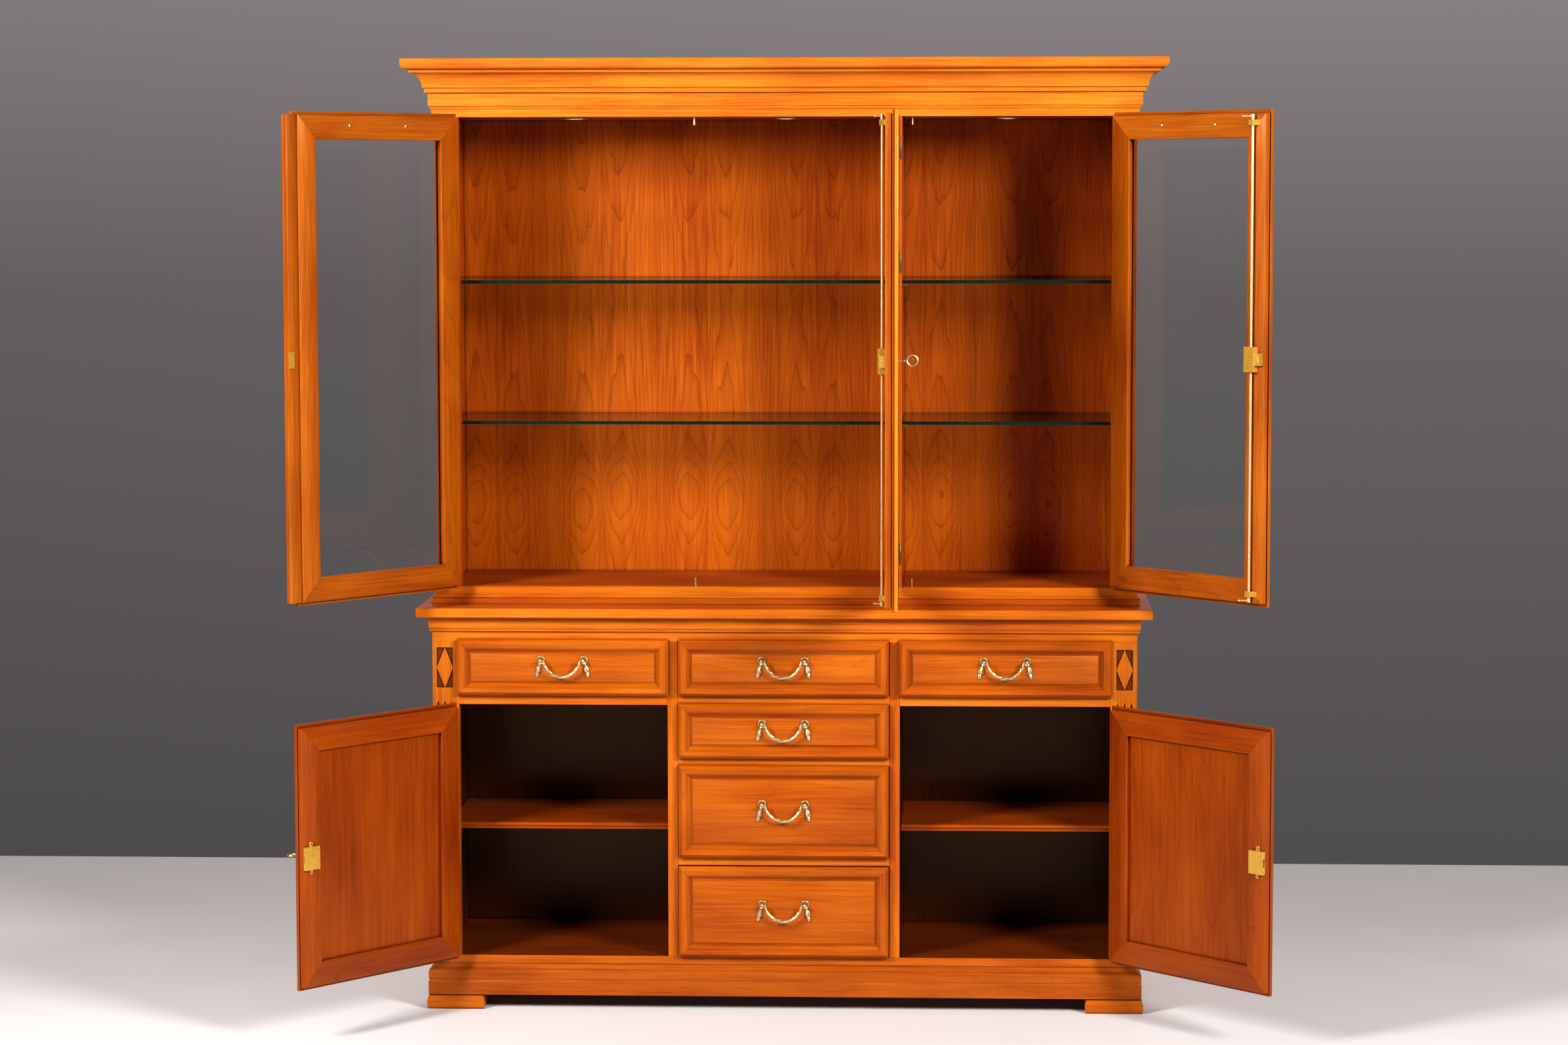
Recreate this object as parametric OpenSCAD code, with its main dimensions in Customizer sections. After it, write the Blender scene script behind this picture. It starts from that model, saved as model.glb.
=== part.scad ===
// Two-piece china cabinet: a buffet base with six drawers and two cupboards, and a
// glazed upper cabinet with three lipped doors under a deep moulded cornice.
// Frame: X = 0 on the centre line, Y = 0 on the front frame of the base, Z = 0 on the floor.
// The front faces -Y. Units are millimetres.

/* [Base] */
// Half width of the base carcass
base_hw = 787; // [700:1:900]
// Depth from the base front frame to the back of the cabinet
depth = 440; // [380:1:520]
// Height of the feet
foot_h = 33.4; // [20:0.1:80]
// Top of the moulded plinth
plinth_top = 102.6; // [80:0.1:140]
// Top face of the cupboard floor
floor_top = 121.6; // [90:0.1:160]
// Underside of the counter slab
counter_z = 888.5; // [800:0.1:950]
// Thickness of the counter slab
counter_t = 21.8; // [15:0.1:40]
// Overhang of the counter slab at the front and sides
counter_over = 32.4; // [10:0.1:60]

/* [Upper cabinet] */
// Half width of the upper carcass
upper_hw = 783; // [700:1:900]
// Set-back of the upper carcass from the base front frame
upper_set = 72; // [40:1:120]
// Top face of the upper cabinet's floor
upper_floor = 949.7; // [900:0.1:1000]
// Underside of the ceiling, which is the top of the door openings
ceiling_z = 2001.1; // [1800:0.1:2100]
// Overall height
total_h = 2130; // [1900:1:2300]
// Projection of the cornice beyond the upper carcass
cornice_out = 66.3; // [30:0.1:90]

/* [Bays] */
// Half width of the front openings, measured to the corner posts
open_hw = 728; // [600:1:760]
// Inner face of the uprights beside the drawers
bay_in = 236.6; // [200:0.1:300]
// Outer face of the uprights beside the drawers
bay_out = 259.7; // [220:0.1:320]
// Bay side of the upper divider that carries the right door's closing edge
divider_out = 262.6; // [250:0.1:320]
// Height of the cupboard shelf's top face
shelf_z = 409.8; // [200:0.1:600]
// Heights of the two glass shelves' top faces
glass_shelf_z = [1321, 1637.3];
// Thickness of the glass shelves
glass_shelf_t = 7.5; // [4:0.1:12]

/* [Doors] */
// Thickness of a door
door_t = 28; // [20:1:40]
// Thickness of the lipped front layer of a door
lip_t = 13; // [8:0.5:20]
// Overlap of the lipped layer on the frame
lip = 8; // [4:0.5:14]
// Width of the door frame members on the inside
member = 52; // [35:1:80]
// Distance of the outer hinge axes from the centre line
pivot_x = 739.5; // [700:0.1:800]
// Distance of the middle door's hinge axis from the centre line
pivot_mid = 259.2; // [240:0.1:280]
// Closing edge of the passive door's rebate strip
strip_end = -220; // [-260:1:-180]
// Opening angle of the upper left door as built
open_lu = 127.9; // [0:0.1:135]
// Opening angle of the upper middle door as built
open_c = 90.5; // [0:0.1:100]
// Opening angle of the upper right door as built
open_ru = 132.4; // [0:0.1:135]
// Opening angle of the lower left door as built
open_ll = 128.6; // [0:0.1:135]
// Opening angle of the lower right door as built
open_rl = 133; // [0:0.1:135]

/* [Drawers] */
// Width of the moulded frame round a drawer's sunk panel
drawer_frame = 30.8; // [15:0.1:45]
// Distance between the two posts of a handle
handle_c = 96; // [64:1:160]
// Depth of a drawer box
drawer_d = 372; // [250:1:400]
// Height of a handle's posts above the middle of the panel
handle_up = 17.5; // [0:0.5:40]

/* [Hidden] */
panel_t = 22;
upper_y = upper_set - 4.7;
back_in = depth - 8;
gap = 0.5;
pivot_gap = 2;
base_py = -gap - lip_t - pivot_gap;
upper_py = upper_y - gap - lip_t - pivot_gap;
lower_z0 = floor_top + 4.9;
lower_z1 = 689.3;
upper_z0 = upper_floor + 5.8;
upper_z1 = ceiling_z - 1.1;
rail_z0 = 690.8;
rail_z1 = 713;
mould_z0 = 833.5;
lock_z = 1478;
key_z = 1480;
low_lock_z = 408;
rod_in = 31;
key_in = 24;
rod_off = 6.5;
rod_r = 3;
back_start = 12.3;

// Drawer fronts: name index, left, right, bottom, top.
side_l = 731.3;
side_r = 257.2;
mid_hw = 235.2;
row_z = [712.5, 837.4];
mid_z = [[572.3, 694.7], [348.4, 555.9], [123.2, 327.6]];
drawer_x = [[-side_l, -side_r], [-mid_hw, mid_hw], [side_r, side_l],
            [-mid_hw, mid_hw], [-mid_hw, mid_hw], [-mid_hw, mid_hw]];
drawer_z = [row_z, row_z, row_z, mid_z[0], mid_z[1], mid_z[2]];
box_gap = 6.3;

cherry = [0.72, 0.34, 0.12];
pale = [0.8, 0.62, 0.42];
brass = [0.83, 0.66, 0.3];
pane = [0.6, 0.75, 0.7, 0.35];

function arc(cx, cy, rx, ry, a0, a1, n = 5) =
  [for (i = [0:n]) let (a = a0 + (a1 - a0) * i / n) [cx + rx * cos(a), cy + ry * sin(a)]];

module block(x0, x1, y0, y1, z0, z1)
  translate([x0, y0, z0]) cube([x1 - x0, y1 - y0, z1 - z0]);

module both() {
  children();
  mirror([1, 0, 0]) children();
}

// A profile drawn in (outward, height) and carried along the front and both sides,
// mitred at the corners. It runs from the carcass face hw / yf.
module surround(hw, yf, yb, reach, thick, top) {
  intersection() {
    translate([0, yf, 0]) rotate([90, 0, 90])
      linear_extrude(height = 2 * (hw + reach) + 2, center = true)
        mirror([1, 0]) children();
    linear_extrude(height = top)
      polygon([[-hw - reach, yf - reach], [hw + reach, yf - reach],
               [hw - thick, yf + thick], [-hw + thick, yf + thick]]);
  }
  both() intersection() {
    translate([hw, yb, 0]) rotate([90, 0, 0])
      linear_extrude(height = yb - yf + reach + 1) children();
    linear_extrude(height = top)
      polygon([[hw + reach, yf - reach], [hw + reach, yb],
               [hw - thick, yb], [hw - thick, yf + thick]]);
  }
}

// A rectangular ring of four mitred members in the XZ plane. The child profile is drawn
// in (distance in from the outer edge, height towards the front).
module ring(x0, x1, z0, z1, w, y) {
  cx = (x0 + x1) / 2;
  cz = (z0 + z1) / 2;
  for (s = [0, 1]) translate([cx, y, cz]) mirror([s, 0, 0]) intersection() {
    translate([-(x1 - x0) / 2, 0, 0])
      linear_extrude(height = z1 - z0, center = true) mirror([0, 1]) children();
    rotate([90, 0, 0]) linear_extrude(height = 60, center = true)
      polygon([[-(x1 - x0) / 2, -(z1 - z0) / 2], [-(x1 - x0) / 2 + w, -(z1 - z0) / 2 + w],
               [-(x1 - x0) / 2 + w, (z1 - z0) / 2 - w], [-(x1 - x0) / 2, (z1 - z0) / 2]]);
  }
  for (s = [0, 1]) translate([cx, y, cz]) mirror([0, 0, s]) intersection() {
    translate([0, 0, -(z1 - z0) / 2]) rotate([0, 90, 0]) rotate([0, 0, 0])
      linear_extrude(height = x1 - x0, center = true)
        mirror([1, 0]) mirror([0, 1]) children();
    rotate([90, 0, 0]) linear_extrude(height = 60, center = true)
      polygon([[-(x1 - x0) / 2, -(z1 - z0) / 2], [(x1 - x0) / 2, -(z1 - z0) / 2],
               [(x1 - x0) / 2 - w, -(z1 - z0) / 2 + w], [-(x1 - x0) / 2 + w, -(z1 - z0) / 2 + w]]);
  }
}

// A slab whose front and side edges carry the child's edge profile.
module edged_slab(hw, y0, y1, z0, z1, r, n = 4) {
  intersection() {
    translate([0, y1, 0]) rotate([90, 0, 0]) linear_extrude(height = y1 - y0)
      polygon(concat(arc(hw - r, z0 + r, r, r, -90, 0, n), arc(hw - r, z1 - r, r, r, 0, 90, n),
                     arc(-hw + r, z1 - r, r, r, 90, 180, n), arc(-hw + r, z0 + r, r, r, 180, 270, n)));
    rotate([90, 0, 90]) linear_extrude(height = 2 * hw, center = true)
      polygon(concat([[y1, z0], [y1, z1]], arc(y0 + r, z1 - r, r, r, 90, 180, n),
                     arc(y0 + r, z0 + r, r, r, 180, 270, n)));
  }
}

// ---------- base ----------

// A foot seen from one side: rounded top, fullest a little below the middle.
module foot_outline(hw) {
  a = asin(2 / 3);
  polygon(concat(arc(hw - 8, 0.4 * foot_h, 8, 0.6 * foot_h, -a, 90, 8),
                 arc(-hw + 8, 0.4 * foot_h, 8, 0.6 * foot_h, 90, 180 + a, 8)));
}

module feet() color(cherry) for (x = [-739.5, 739.5]) for (y = [51, depth - 68])
  translate([x, 0, 0]) intersection() {
    translate([0, y + 65, 0]) rotate([90, 0, 0]) linear_extrude(height = 130)
      foot_outline(65);
    translate([0, y, 0]) rotate([90, 0, 90]) linear_extrude(height = 130, center = true)
      foot_outline(65);
  }

module plinth() color(cherry)
  surround(base_hw, 0, depth, 14, 20, 200)
    polygon(concat([[-20, foot_h], [13.7, foot_h], [13.7, 63], [12.2, 66], [12.2, 68.5], [13, 70]],
                   arc(13, 80, 0.1, 8, -60, 60, 2), [[12.2, 89], [9.5, 90.4]],
                   arc(9.5, plinth_top, 7.5, 11.2, 270, 180, 5),
                   [[-20, plinth_top]]));

module base_floor() color(cherry)
  block(-base_hw, base_hw, 0, depth, plinth_top, floor_top);

module base_sides() color(cherry)
  both() block(base_hw - panel_t, base_hw, 26, depth, floor_top, mould_z0);

// Uprights beside the drawers, each with a mortise for the cupboard lock's bolt.
module base_partitions() color(cherry) both() difference() {
  block(bay_in, bay_out, 0, back_in, floor_top, mould_z0);
  block(bay_out - 9.5, bay_out + 1, 14, 22.5, low_lock_z - 11, low_lock_z + 11);
}

module back_panels() color(cherry) {
  block(-base_hw + panel_t, base_hw - panel_t, back_in, depth, floor_top, counter_z);
  block(-upper_hw + 20, upper_hw - 20, back_in, depth, counter_z + counter_t, total_h - 18);
}

module face_rails() color(cherry) {
  both() block(bay_out, open_hw, 0, panel_t, rail_z0, rail_z1);
  block(-bay_in, bay_in, 0, panel_t, rail_z0, rail_z1);
  for (i = [0, 1]) let (m = (mid_z[i][0] + mid_z[i + 1][1]) / 2)
    block(-bay_in, bay_in, 0, panel_t, m - 9, m + 9);
}

// A corner pilaster: sunk block with a raised diamond on top, three pointed flutes below.
module pilaster() {
  cx = (open_hw + base_hw) / 2 + 1.7;
  difference() {
    block(open_hw, base_hw, 0, 26, floor_top, mould_z0);
    translate([cx, 4, 773.4]) rotate([90, 0, 0]) linear_extrude(height = 10)
      polygon(concat(arc(16.2, 43.2, 2, 2, 0, 90, 3), arc(-16.2, 43.2, 2, 2, 90, 180, 3),
                     arc(-16.2, -43.2, 2, 2, 180, 270, 3), arc(16.2, -43.2, 2, 2, 270, 360, 3)));
    for (i = [-1, 0, 1]) translate([cx + i * 15.4 + 0.4, 3, 0]) rotate([90, 0, 0])
      linear_extrude(height = 10)
        polygon([[-2.3, 146], [0, 140], [2.3, 146], [2.3, 691], [0, 699], [-2.3, 691]]);
  }
  translate([cx, 4, 773.4]) rotate([90, 0, 0])
    linear_extrude(height = 3.5) polygon([[-18.5, 0], [0, -45.6], [18.5, 0], [0, 45.6]]);
}

module pilasters() color(cherry) both() pilaster();

module cupboard_shelves() color(cherry) both() union() {
  block(bay_out + 1, base_hw - panel_t - 1, 94, back_in - 1, shelf_z - 15, shelf_z);
  translate([bay_out + 1, 94, 0]) rotate([90, 0, 90])
    linear_extrude(height = base_hw - panel_t - bay_out - 2)
      polygon(concat([[0, shelf_z - 15], [0, shelf_z]],
                     arc(-3, shelf_z - 4.5, 6, 4.5, 90, 250, 5), [[-4, shelf_z - 15]]));
}

// Side runners under every drawer box.
module drawer_runners() color(pale) {
  for (i = [0:5]) let (x0 = drawer_x[i][0] < -300 ? -open_hw : drawer_x[i][0] > 0 ? bay_out : -bay_in,
                       x1 = drawer_x[i][0] < -300 ? -bay_out : drawer_x[i][0] > 0 ? open_hw : bay_in,
                       z = drawer_z[i][0]) {
    block(x0, x0 + 16, 26.5, back_in - 2, max(z - 4, floor_top), z + 3);
    block(x1 - 16, x1, 26.5, back_in - 2, max(z - 4, floor_top), z + 3);
  }
  both() block(open_hw, base_hw - panel_t, 26.5, back_in - 2, row_z[0] - 8, row_z[0] + 40);
}

module counter_moulding() color(cherry)
  surround(base_hw, 0, depth, 15, 22, 900)
    polygon([[-22, mould_z0], [0, mould_z0], [0, 855.2], [4.4, 855.6], [5.2, 856.6], [5.2, 858.2],
             [4.4, 859.4], [4.3, 860.4], [5.7, 862], [6.8, 864.6], [7.5, 867.8], [7.7, 871.5],
             [7.7, counter_z], [-22, counter_z]]);

module counter() color(cherry)
  edged_slab(base_hw + counter_over, -counter_over, depth, counter_z, counter_z + counter_t, 3.2);

// ---------- upper carcass ----------

module upper_plinth() color(cherry)
  surround(upper_hw, upper_set, depth, 13, 20, 960)
    polygon([[-20, counter_z + counter_t], [12.1, counter_z + counter_t], [12.1, 913.2], [11, 914.4],
             [10.6, 924.4], [12.1, 925.4], [12.1, 926.8], [10.6, 928], [7.4, 928.6], [6.4, 930],
             [4.7, 930.8], [4.7, upper_floor], [-20, upper_floor]]);

module upper_boards() color(cherry) {
  block(-upper_hw + 20, upper_hw - 20, upper_set + 20, back_in, upper_floor - 19.7, upper_floor);
  block(-upper_hw + 20, upper_hw - 20, upper_set + 20, back_in, ceiling_z, ceiling_z + 18);
  block(-upper_hw + 20, upper_hw - 20, upper_set + 20, depth, total_h - 18, total_h);
}

module corner_posts() color(cherry) both() difference() {
  block(open_hw, upper_hw, upper_y, upper_y + 26, upper_floor, ceiling_z);
  translate([upper_hw, upper_y, (1010 + 1935) / 2]) rotate([0, 0, 45])
    cube([13, 13, 1935 - 1010], center = true);
}

module upper_sides() color(cherry)
  both() block(upper_hw - 20, upper_hw, upper_y + 26, depth, upper_floor, ceiling_z);

module divider() color(cherry)
  block(bay_in, divider_out, upper_y, back_in, upper_floor, ceiling_z);

module cornice() color(cherry)
  surround(upper_hw, upper_set, depth, cornice_out + 1, 20, total_h)
    polygon(concat([[-20, ceiling_z], [4.7, ceiling_z], [4.7, 2018.2], [6.2, 2019.4]],
                   arc(11.5, 2019.4, 4.5, 6.2, 180, 90, 3),
                   [[11.5, 2025.6], [11.5, 2055.4], [18.9, 2055.4], [18.9, 2064.5], [22.9, 2066.3]],
                   arc(49.3, 2066.3, 26.4, 32.6, 180, 90, 7),
                   [[49.3, 2106.2]],
                   arc(cornice_out - 11, 2118.2, 11, 12, -90, 0, 6),
                   [[cornice_out, total_h - 1.2], [cornice_out - 1.2, total_h]],
                   [[-20, total_h]]));

shelf_front = upper_y + 29;
bays = [[-upper_hw + 21, bay_in - 1], [divider_out + 1, upper_hw - 21]];

module glass_shelves() color(pane)
  for (b = bays) for (z = glass_shelf_z)
    block(b[0], b[1], shelf_front, back_in - 4, z - glass_shelf_t, z);

pin_z = 18;
catch_x = [pivot_mid - (pivot_mid - strip_end - 1.5) + rod_in - 14.5, 284.5];
catch_y = upper_py + pivot_gap + door_t + rod_off + 6.6;

// Shelf rests, door catch pins and nothing else: small brass turned pins.
module pins() color(brass) {
  for (b = bays) for (z = glass_shelf_z) for (y = [shelf_front + 30, back_in - 60])
    for (s = [0, 1]) translate([b[s] + (s == 0 ? -1 : 1), y, z - glass_shelf_t - 2.6])
      rotate([0, s == 0 ? 90 : -90, 0]) cylinder(h = 11, r = 2.4, $fn = 10);
  for (x = catch_x) {
    translate([x, catch_y, upper_floor]) cylinder(h = pin_z, r = 2.2, $fn = 16);
    translate([x, catch_y, ceiling_z - pin_z]) cylinder(h = pin_z, r = 2.2, $fn = 16);
  }
}

module spotlights() color([0.9, 0.9, 0.86])
  for (x = [-478, 0, 496]) translate([x, 190, ceiling_z - 4]) difference() {
    cylinder(h = 4, r = 34, $fn = 32);
    translate([0, 0, -1]) cylinder(h = 3, r = 25, $fn = 32);
  }

// Fixed halves of the door hinges: a knuckle on each axis and its leaf back to the frame.
module hinge_at(x, y, z, dir) translate([x, y, z]) union() {
  cylinder(h = 44, r = 1.8, $fn = 24, center = true);
  translate([dir > 0 ? 0.6 : -3, 0, -22]) cube([2.4, 15.5, 44]);
}

module hinges() color(brass) {
  for (z = [lower_z0 + 60, lower_z1 - 60]) both() hinge_at(-pivot_x, base_py, z, -1);
  for (z = [upper_z0 + 70, (upper_z0 + upper_z1) / 2 + 200, upper_z1 - 70]) {
    both() hinge_at(-pivot_x, upper_py, z, -1);
    hinge_at(pivot_mid, upper_py, z, 1);
  }
}

// ---------- doors ----------
// Door coordinates: x from the hinge axis towards the closing edge, y from the hinge
// axis into the cabinet, z absolute. side 0 hinges on the left, 1 on the right.

module hang(side, px, py, ang)
  mirror([side, 0, 0]) translate([-px, py, 0]) rotate([0, 0, -ang]) children();

// One flat layer of a mitred frame member, from the outer edge to the sight edge.
module layer(pts, y0, y1)
  translate([0, pivot_gap + y1, 0]) rotate([90, 0, 0]) linear_extrude(height = y1 - y0) polygon(pts);

// The four members of a door frame. Outer rectangle of the lipped layer, rectangle of the
// back layer, and the shared sight opening.
module frame_members(f, b, s, groove = 2) {
  for (k = [0:3]) {
    n = (k + 1) % 4;
    fc = [[f[0], f[2]], [f[1], f[2]], [f[1], f[3]], [f[0], f[3]]];
    bc = [[b[0], b[2]], [b[1], b[2]], [b[1], b[3]], [b[0], b[3]]];
    sc = [[s[0], s[2]], [s[1], s[2]], [s[1], s[3]], [s[0], s[3]]];
    g = [[groove, groove], [-groove, groove], [-groove, -groove], [groove, -groove]];
    q = [[5, 5], [-5, 5], [-5, -5], [5, -5]];
    union() {
      layer([fc[k] + q[k], fc[n] + q[n], sc[n] + 2 * (-q[n]) / 1, sc[k] + 2 * (-q[k])], 0, 4);
      layer([fc[k], fc[n], sc[n] - q[n] * 0.8, sc[k] - q[k] * 0.8], 4, lip_t);
      layer([bc[k] + g[k], bc[n] + g[n], sc[n], sc[k]], lip_t, lip_t + groove);
      layer([bc[k], bc[n], sc[n], sc[k]], lip_t + groove, door_t);
    }
  }
}

free_c = pivot_mid - strip_end - 1.5;
free_ru = pivot_x - 268;
stile_lu = pivot_x + strip_end - 30.2;
free_low = pivot_x - bay_out - 1.8;
sight_z = [upper_z0 + member, upper_z1 - member];
low_sight_z = [lower_z0 + member, lower_z1 - member];
start_c = pivot_mid - bay_in + 1;

module key_bore(x, z) translate([x, 0, z]) rotate([-90, 0, 0]) cylinder(h = 60, r = 3.2, $fn = 16, center = true);

module lu_frame_shape() {
  end = pivot_x + strip_end;
  front_end = end - 27;
  frame_members([pivot_gap, front_end, upper_z0 - lip, upper_z1 + lip],
                [back_start, stile_lu, upper_z0, upper_z1],
                [back_start + member, stile_lu - member, sight_z[0], sight_z[1]]);
  block(stile_lu, end, pivot_gap + lip_t + 2.5, pivot_gap + door_t - 3.2, upper_z0, upper_z1);
  block(front_end + 0.3, end, pivot_gap + 8.5, pivot_gap + lip_t + 2.5, upper_z0, upper_z1);
}

module lu_frame() color(cherry) hang(0, pivot_x, upper_py, open_lu) lu_frame_shape();

module lu_glass() color(pane) hang(0, pivot_x, upper_py, open_lu)
  block(back_start + member, stile_lu - member, pivot_gap + lip_t, pivot_gap + lip_t + 4,
        sight_z[0], sight_z[1]);

module lu_strike() color(brass) hang(0, pivot_x, upper_py, open_lu) {
  e = pivot_x + strip_end;
  y = pivot_gap + door_t - 3.2;
  difference() {
    block(e - 15, e + 0.8, y, y + 1, lock_z - 18, lock_z + 18);
    for (z = [-13, 13]) translate([e - 6, y + 1.5, lock_z + z]) rotate([90, 0, 0]) cylinder(h = 4, r = 1.2, $fn = 12);
  }
}

module c_frame() color(cherry) hang(1, pivot_mid, upper_py, open_c) difference() {
  union() {
    frame_members([pivot_gap, free_c, upper_z0 - lip, upper_z1 + lip],
                  [start_c, free_c, upper_z0, upper_z1],
                  [start_c + member, free_c - member, sight_z[0], sight_z[1]]);
    block(free_c, free_c + 25.5, pivot_gap, pivot_gap + 7.8, upper_z0 - lip, upper_z1 + lip);
  }
  key_bore(free_c - key_in, key_z);
}

module c_glass() color(pane) hang(1, pivot_mid, upper_py, open_c)
  block(start_c + member, free_c - member, pivot_gap + lip_t, pivot_gap + lip_t + 4,
        sight_z[0], sight_z[1]);

module ru_frame() color(cherry) hang(1, pivot_x, upper_py, open_ru) difference() {
  frame_members([pivot_gap, free_ru + 2, upper_z0 - lip, upper_z1 + lip],
                [back_start, free_ru, upper_z0, upper_z1],
                [back_start + member, free_ru - member, sight_z[0], sight_z[1]]);
  key_bore(free_ru - key_in, key_z);
}

module ru_glass() color(pane) hang(1, pivot_x, upper_py, open_ru)
  block(back_start + member, free_ru - member, pivot_gap + lip_t, pivot_gap + lip_t + 4,
        sight_z[0], sight_z[1]);

// Espagnolette lock on the inside of a door: case, nose and two rod guides.
module rod_lock(free) {
  x = free - rod_in;
  y = pivot_gap + door_t;
  difference() {
    block(x - 13, x + 14.5, y, y + 15.5, lock_z - 27, lock_z + 27);
    translate([x, y + rod_off, lock_z]) cylinder(h = 60, r = rod_r + 0.5, $fn = 24, center = true);
  }
  block(x + 14.5, x + 28, y, y + 12, lock_z - 13, lock_z + 13);
  for (z = [upper_z0 + 20, upper_z1 - 20]) difference() {
    union() {
      block(x - 17, x + 17, y, y + 2, z - 6, z + 6);
      block(x - 7, x + 7, y + 2, y + 12.5, z - 6, z + 6);
    }
    translate([x, y + rod_off, z]) cylinder(h = 14, r = rod_r + 0.5, $fn = 24, center = true);
  }
}

// Turning rods with a finger at each end, one rod each side of the lock.
module rod_pair(free) {
  x = free - rod_in;
  y = pivot_gap + door_t + rod_off;
  for (e = [[lock_z - 20, upper_z0 + 2.5, 1], [upper_z1 - 2.5, lock_z + 20, -1]])
    translate([x, y, 0]) union() {
      translate([0, 0, min(e[0], e[1])]) cylinder(h = abs(e[0] - e[1]), r = rod_r, $fn = 20);
      translate([0, 0, e[2] > 0 ? upper_z0 + 6.5 : upper_z1 - 6.5]) rotate([0, 0, 130]) {
        rotate([0, 90, 0]) cylinder(h = 21, r = 1.5, $fn = 10);
        translate([21, 0, 0]) sphere(r = 2.2, $fn = 10);
      }
      translate([0, 0, e[2] > 0 ? upper_z0 + 2.5 : upper_z1 - 12.5]) cylinder(h = 10, r = 4, $fn = 20);
    }
}

module c_lock() color(brass) hang(1, pivot_mid, upper_py, open_c) rod_lock(free_c);
module c_rods() color(brass) hang(1, pivot_mid, upper_py, open_c) rod_pair(free_c);
module ru_lock() color(brass) hang(1, pivot_x, upper_py, open_ru) rod_lock(free_ru);
module ru_rods() color(brass) hang(1, pivot_x, upper_py, open_ru) rod_pair(free_ru);

// A key with a ring bow. Drawn along -Y from the door's outer face, bow in the YZ plane.
module key_shape() {
  rotate([90, 0, 0]) translate([0, 0, -24]) cylinder(h = 42, r = 2, $fn = 16);
  for (y = [5, 11]) translate([0, -y, 0]) rotate([90, 0, 0]) cylinder(h = 3, r = 3.4, $fn = 16);
  translate([0, -29.5, 0]) rotate([0, 90, 0]) rotate_extrude($fn = 32)
    translate([11.2, 0]) circle(r = 1.8, $fn = 8);
  translate([0, -29.5, 0]) rotate([0, 90, 0]) for (s = [0, 1]) mirror([0, s, 0])
    translate([-3.6, 0, 0]) rotate([0, 0, 0]) translate([3.6, 3.9, 0]) rotate([0, 0, 90])
      rotate_extrude(angle = 180, $fn = 24) translate([3.9, 0]) circle(r = 1.1, $fn = 6);
}

module c_key() color(brass) hang(1, pivot_mid, upper_py, open_c)
  translate([free_c - key_in, pivot_gap, key_z]) key_shape();

// A lower door: frame with a sunk panel; box lock with two screw ears.
module low_frame() difference() {
  frame_members([pivot_gap, free_low + 0.8, lower_z0 - lip, lower_z1 + lip],
                [back_start, free_low, lower_z0, lower_z1],
                [back_start + member, free_low - member, low_sight_z[0], low_sight_z[1]]);
  key_bore(free_low - 21, low_lock_z);
}

module low_panel() {
  x = [back_start + member, free_low - member];
  block(x[0], x[1], pivot_gap + lip_t, pivot_gap + 19, low_sight_z[0], low_sight_z[1]);
  block(x[0] + 14, x[1] - 14, pivot_gap + 5, pivot_gap + lip_t, low_sight_z[0] + 14, low_sight_z[1] - 14);
}

module low_lock() {
  y = pivot_gap + door_t;
  z = low_lock_z;
  difference() {
    union() {
      block(free_low - 41.5, free_low - 1, y, y + 8.4, z - 25, z + 25);
      for (s = [-1, 1]) translate([free_low - 21, y, z + s * 31]) rotate([-90, 0, 0])
        cylinder(h = 3, r = 4.6, $fn = 16);
      block(free_low - 25, free_low - 17, y, y + 3, z - 30, z + 30);
    }
    block(free_low - 30, free_low, y + 1.5, y + 5.5, z - 9, z + 9);
    for (s = [-1, 1]) translate([free_low - 21, y, z + s * 31]) rotate([-90, 0, 0])
      cylinder(h = 8, r = 1.8, $fn = 12, center = true);
  }
}

module ll_frame() color(cherry) hang(0, pivot_x, base_py, open_ll) low_frame();
module ll_panel() color(cherry) hang(0, pivot_x, base_py, open_ll) low_panel();
module ll_lock() color(brass) hang(0, pivot_x, base_py, open_ll) low_lock();
module ll_bolt() color(brass) hang(0, pivot_x, base_py, open_ll)
  block(free_low - 29.5, free_low - 2, pivot_gap + door_t + 1.8, pivot_gap + door_t + 5.2,
        low_lock_z - 8.7, low_lock_z + 8.7);
module ll_key() color(brass) hang(0, pivot_x, base_py, open_ll)
  translate([free_low - 21, pivot_gap, low_lock_z]) rotate([0, 90, 0]) key_shape();
module rl_frame() color(cherry) hang(1, pivot_x, base_py, open_rl) low_frame();
module rl_panel() color(cherry) hang(1, pivot_x, base_py, open_rl) low_panel();
module rl_lock() color(brass) hang(1, pivot_x, base_py, open_rl) low_lock();

// ---------- drawers ----------

function handle_z(i) = (drawer_z[i][0] + drawer_z[i][1]) / 2 + handle_up;
function handle_x(i) = (drawer_x[i][0] + drawer_x[i][1]) / 2;

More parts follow.
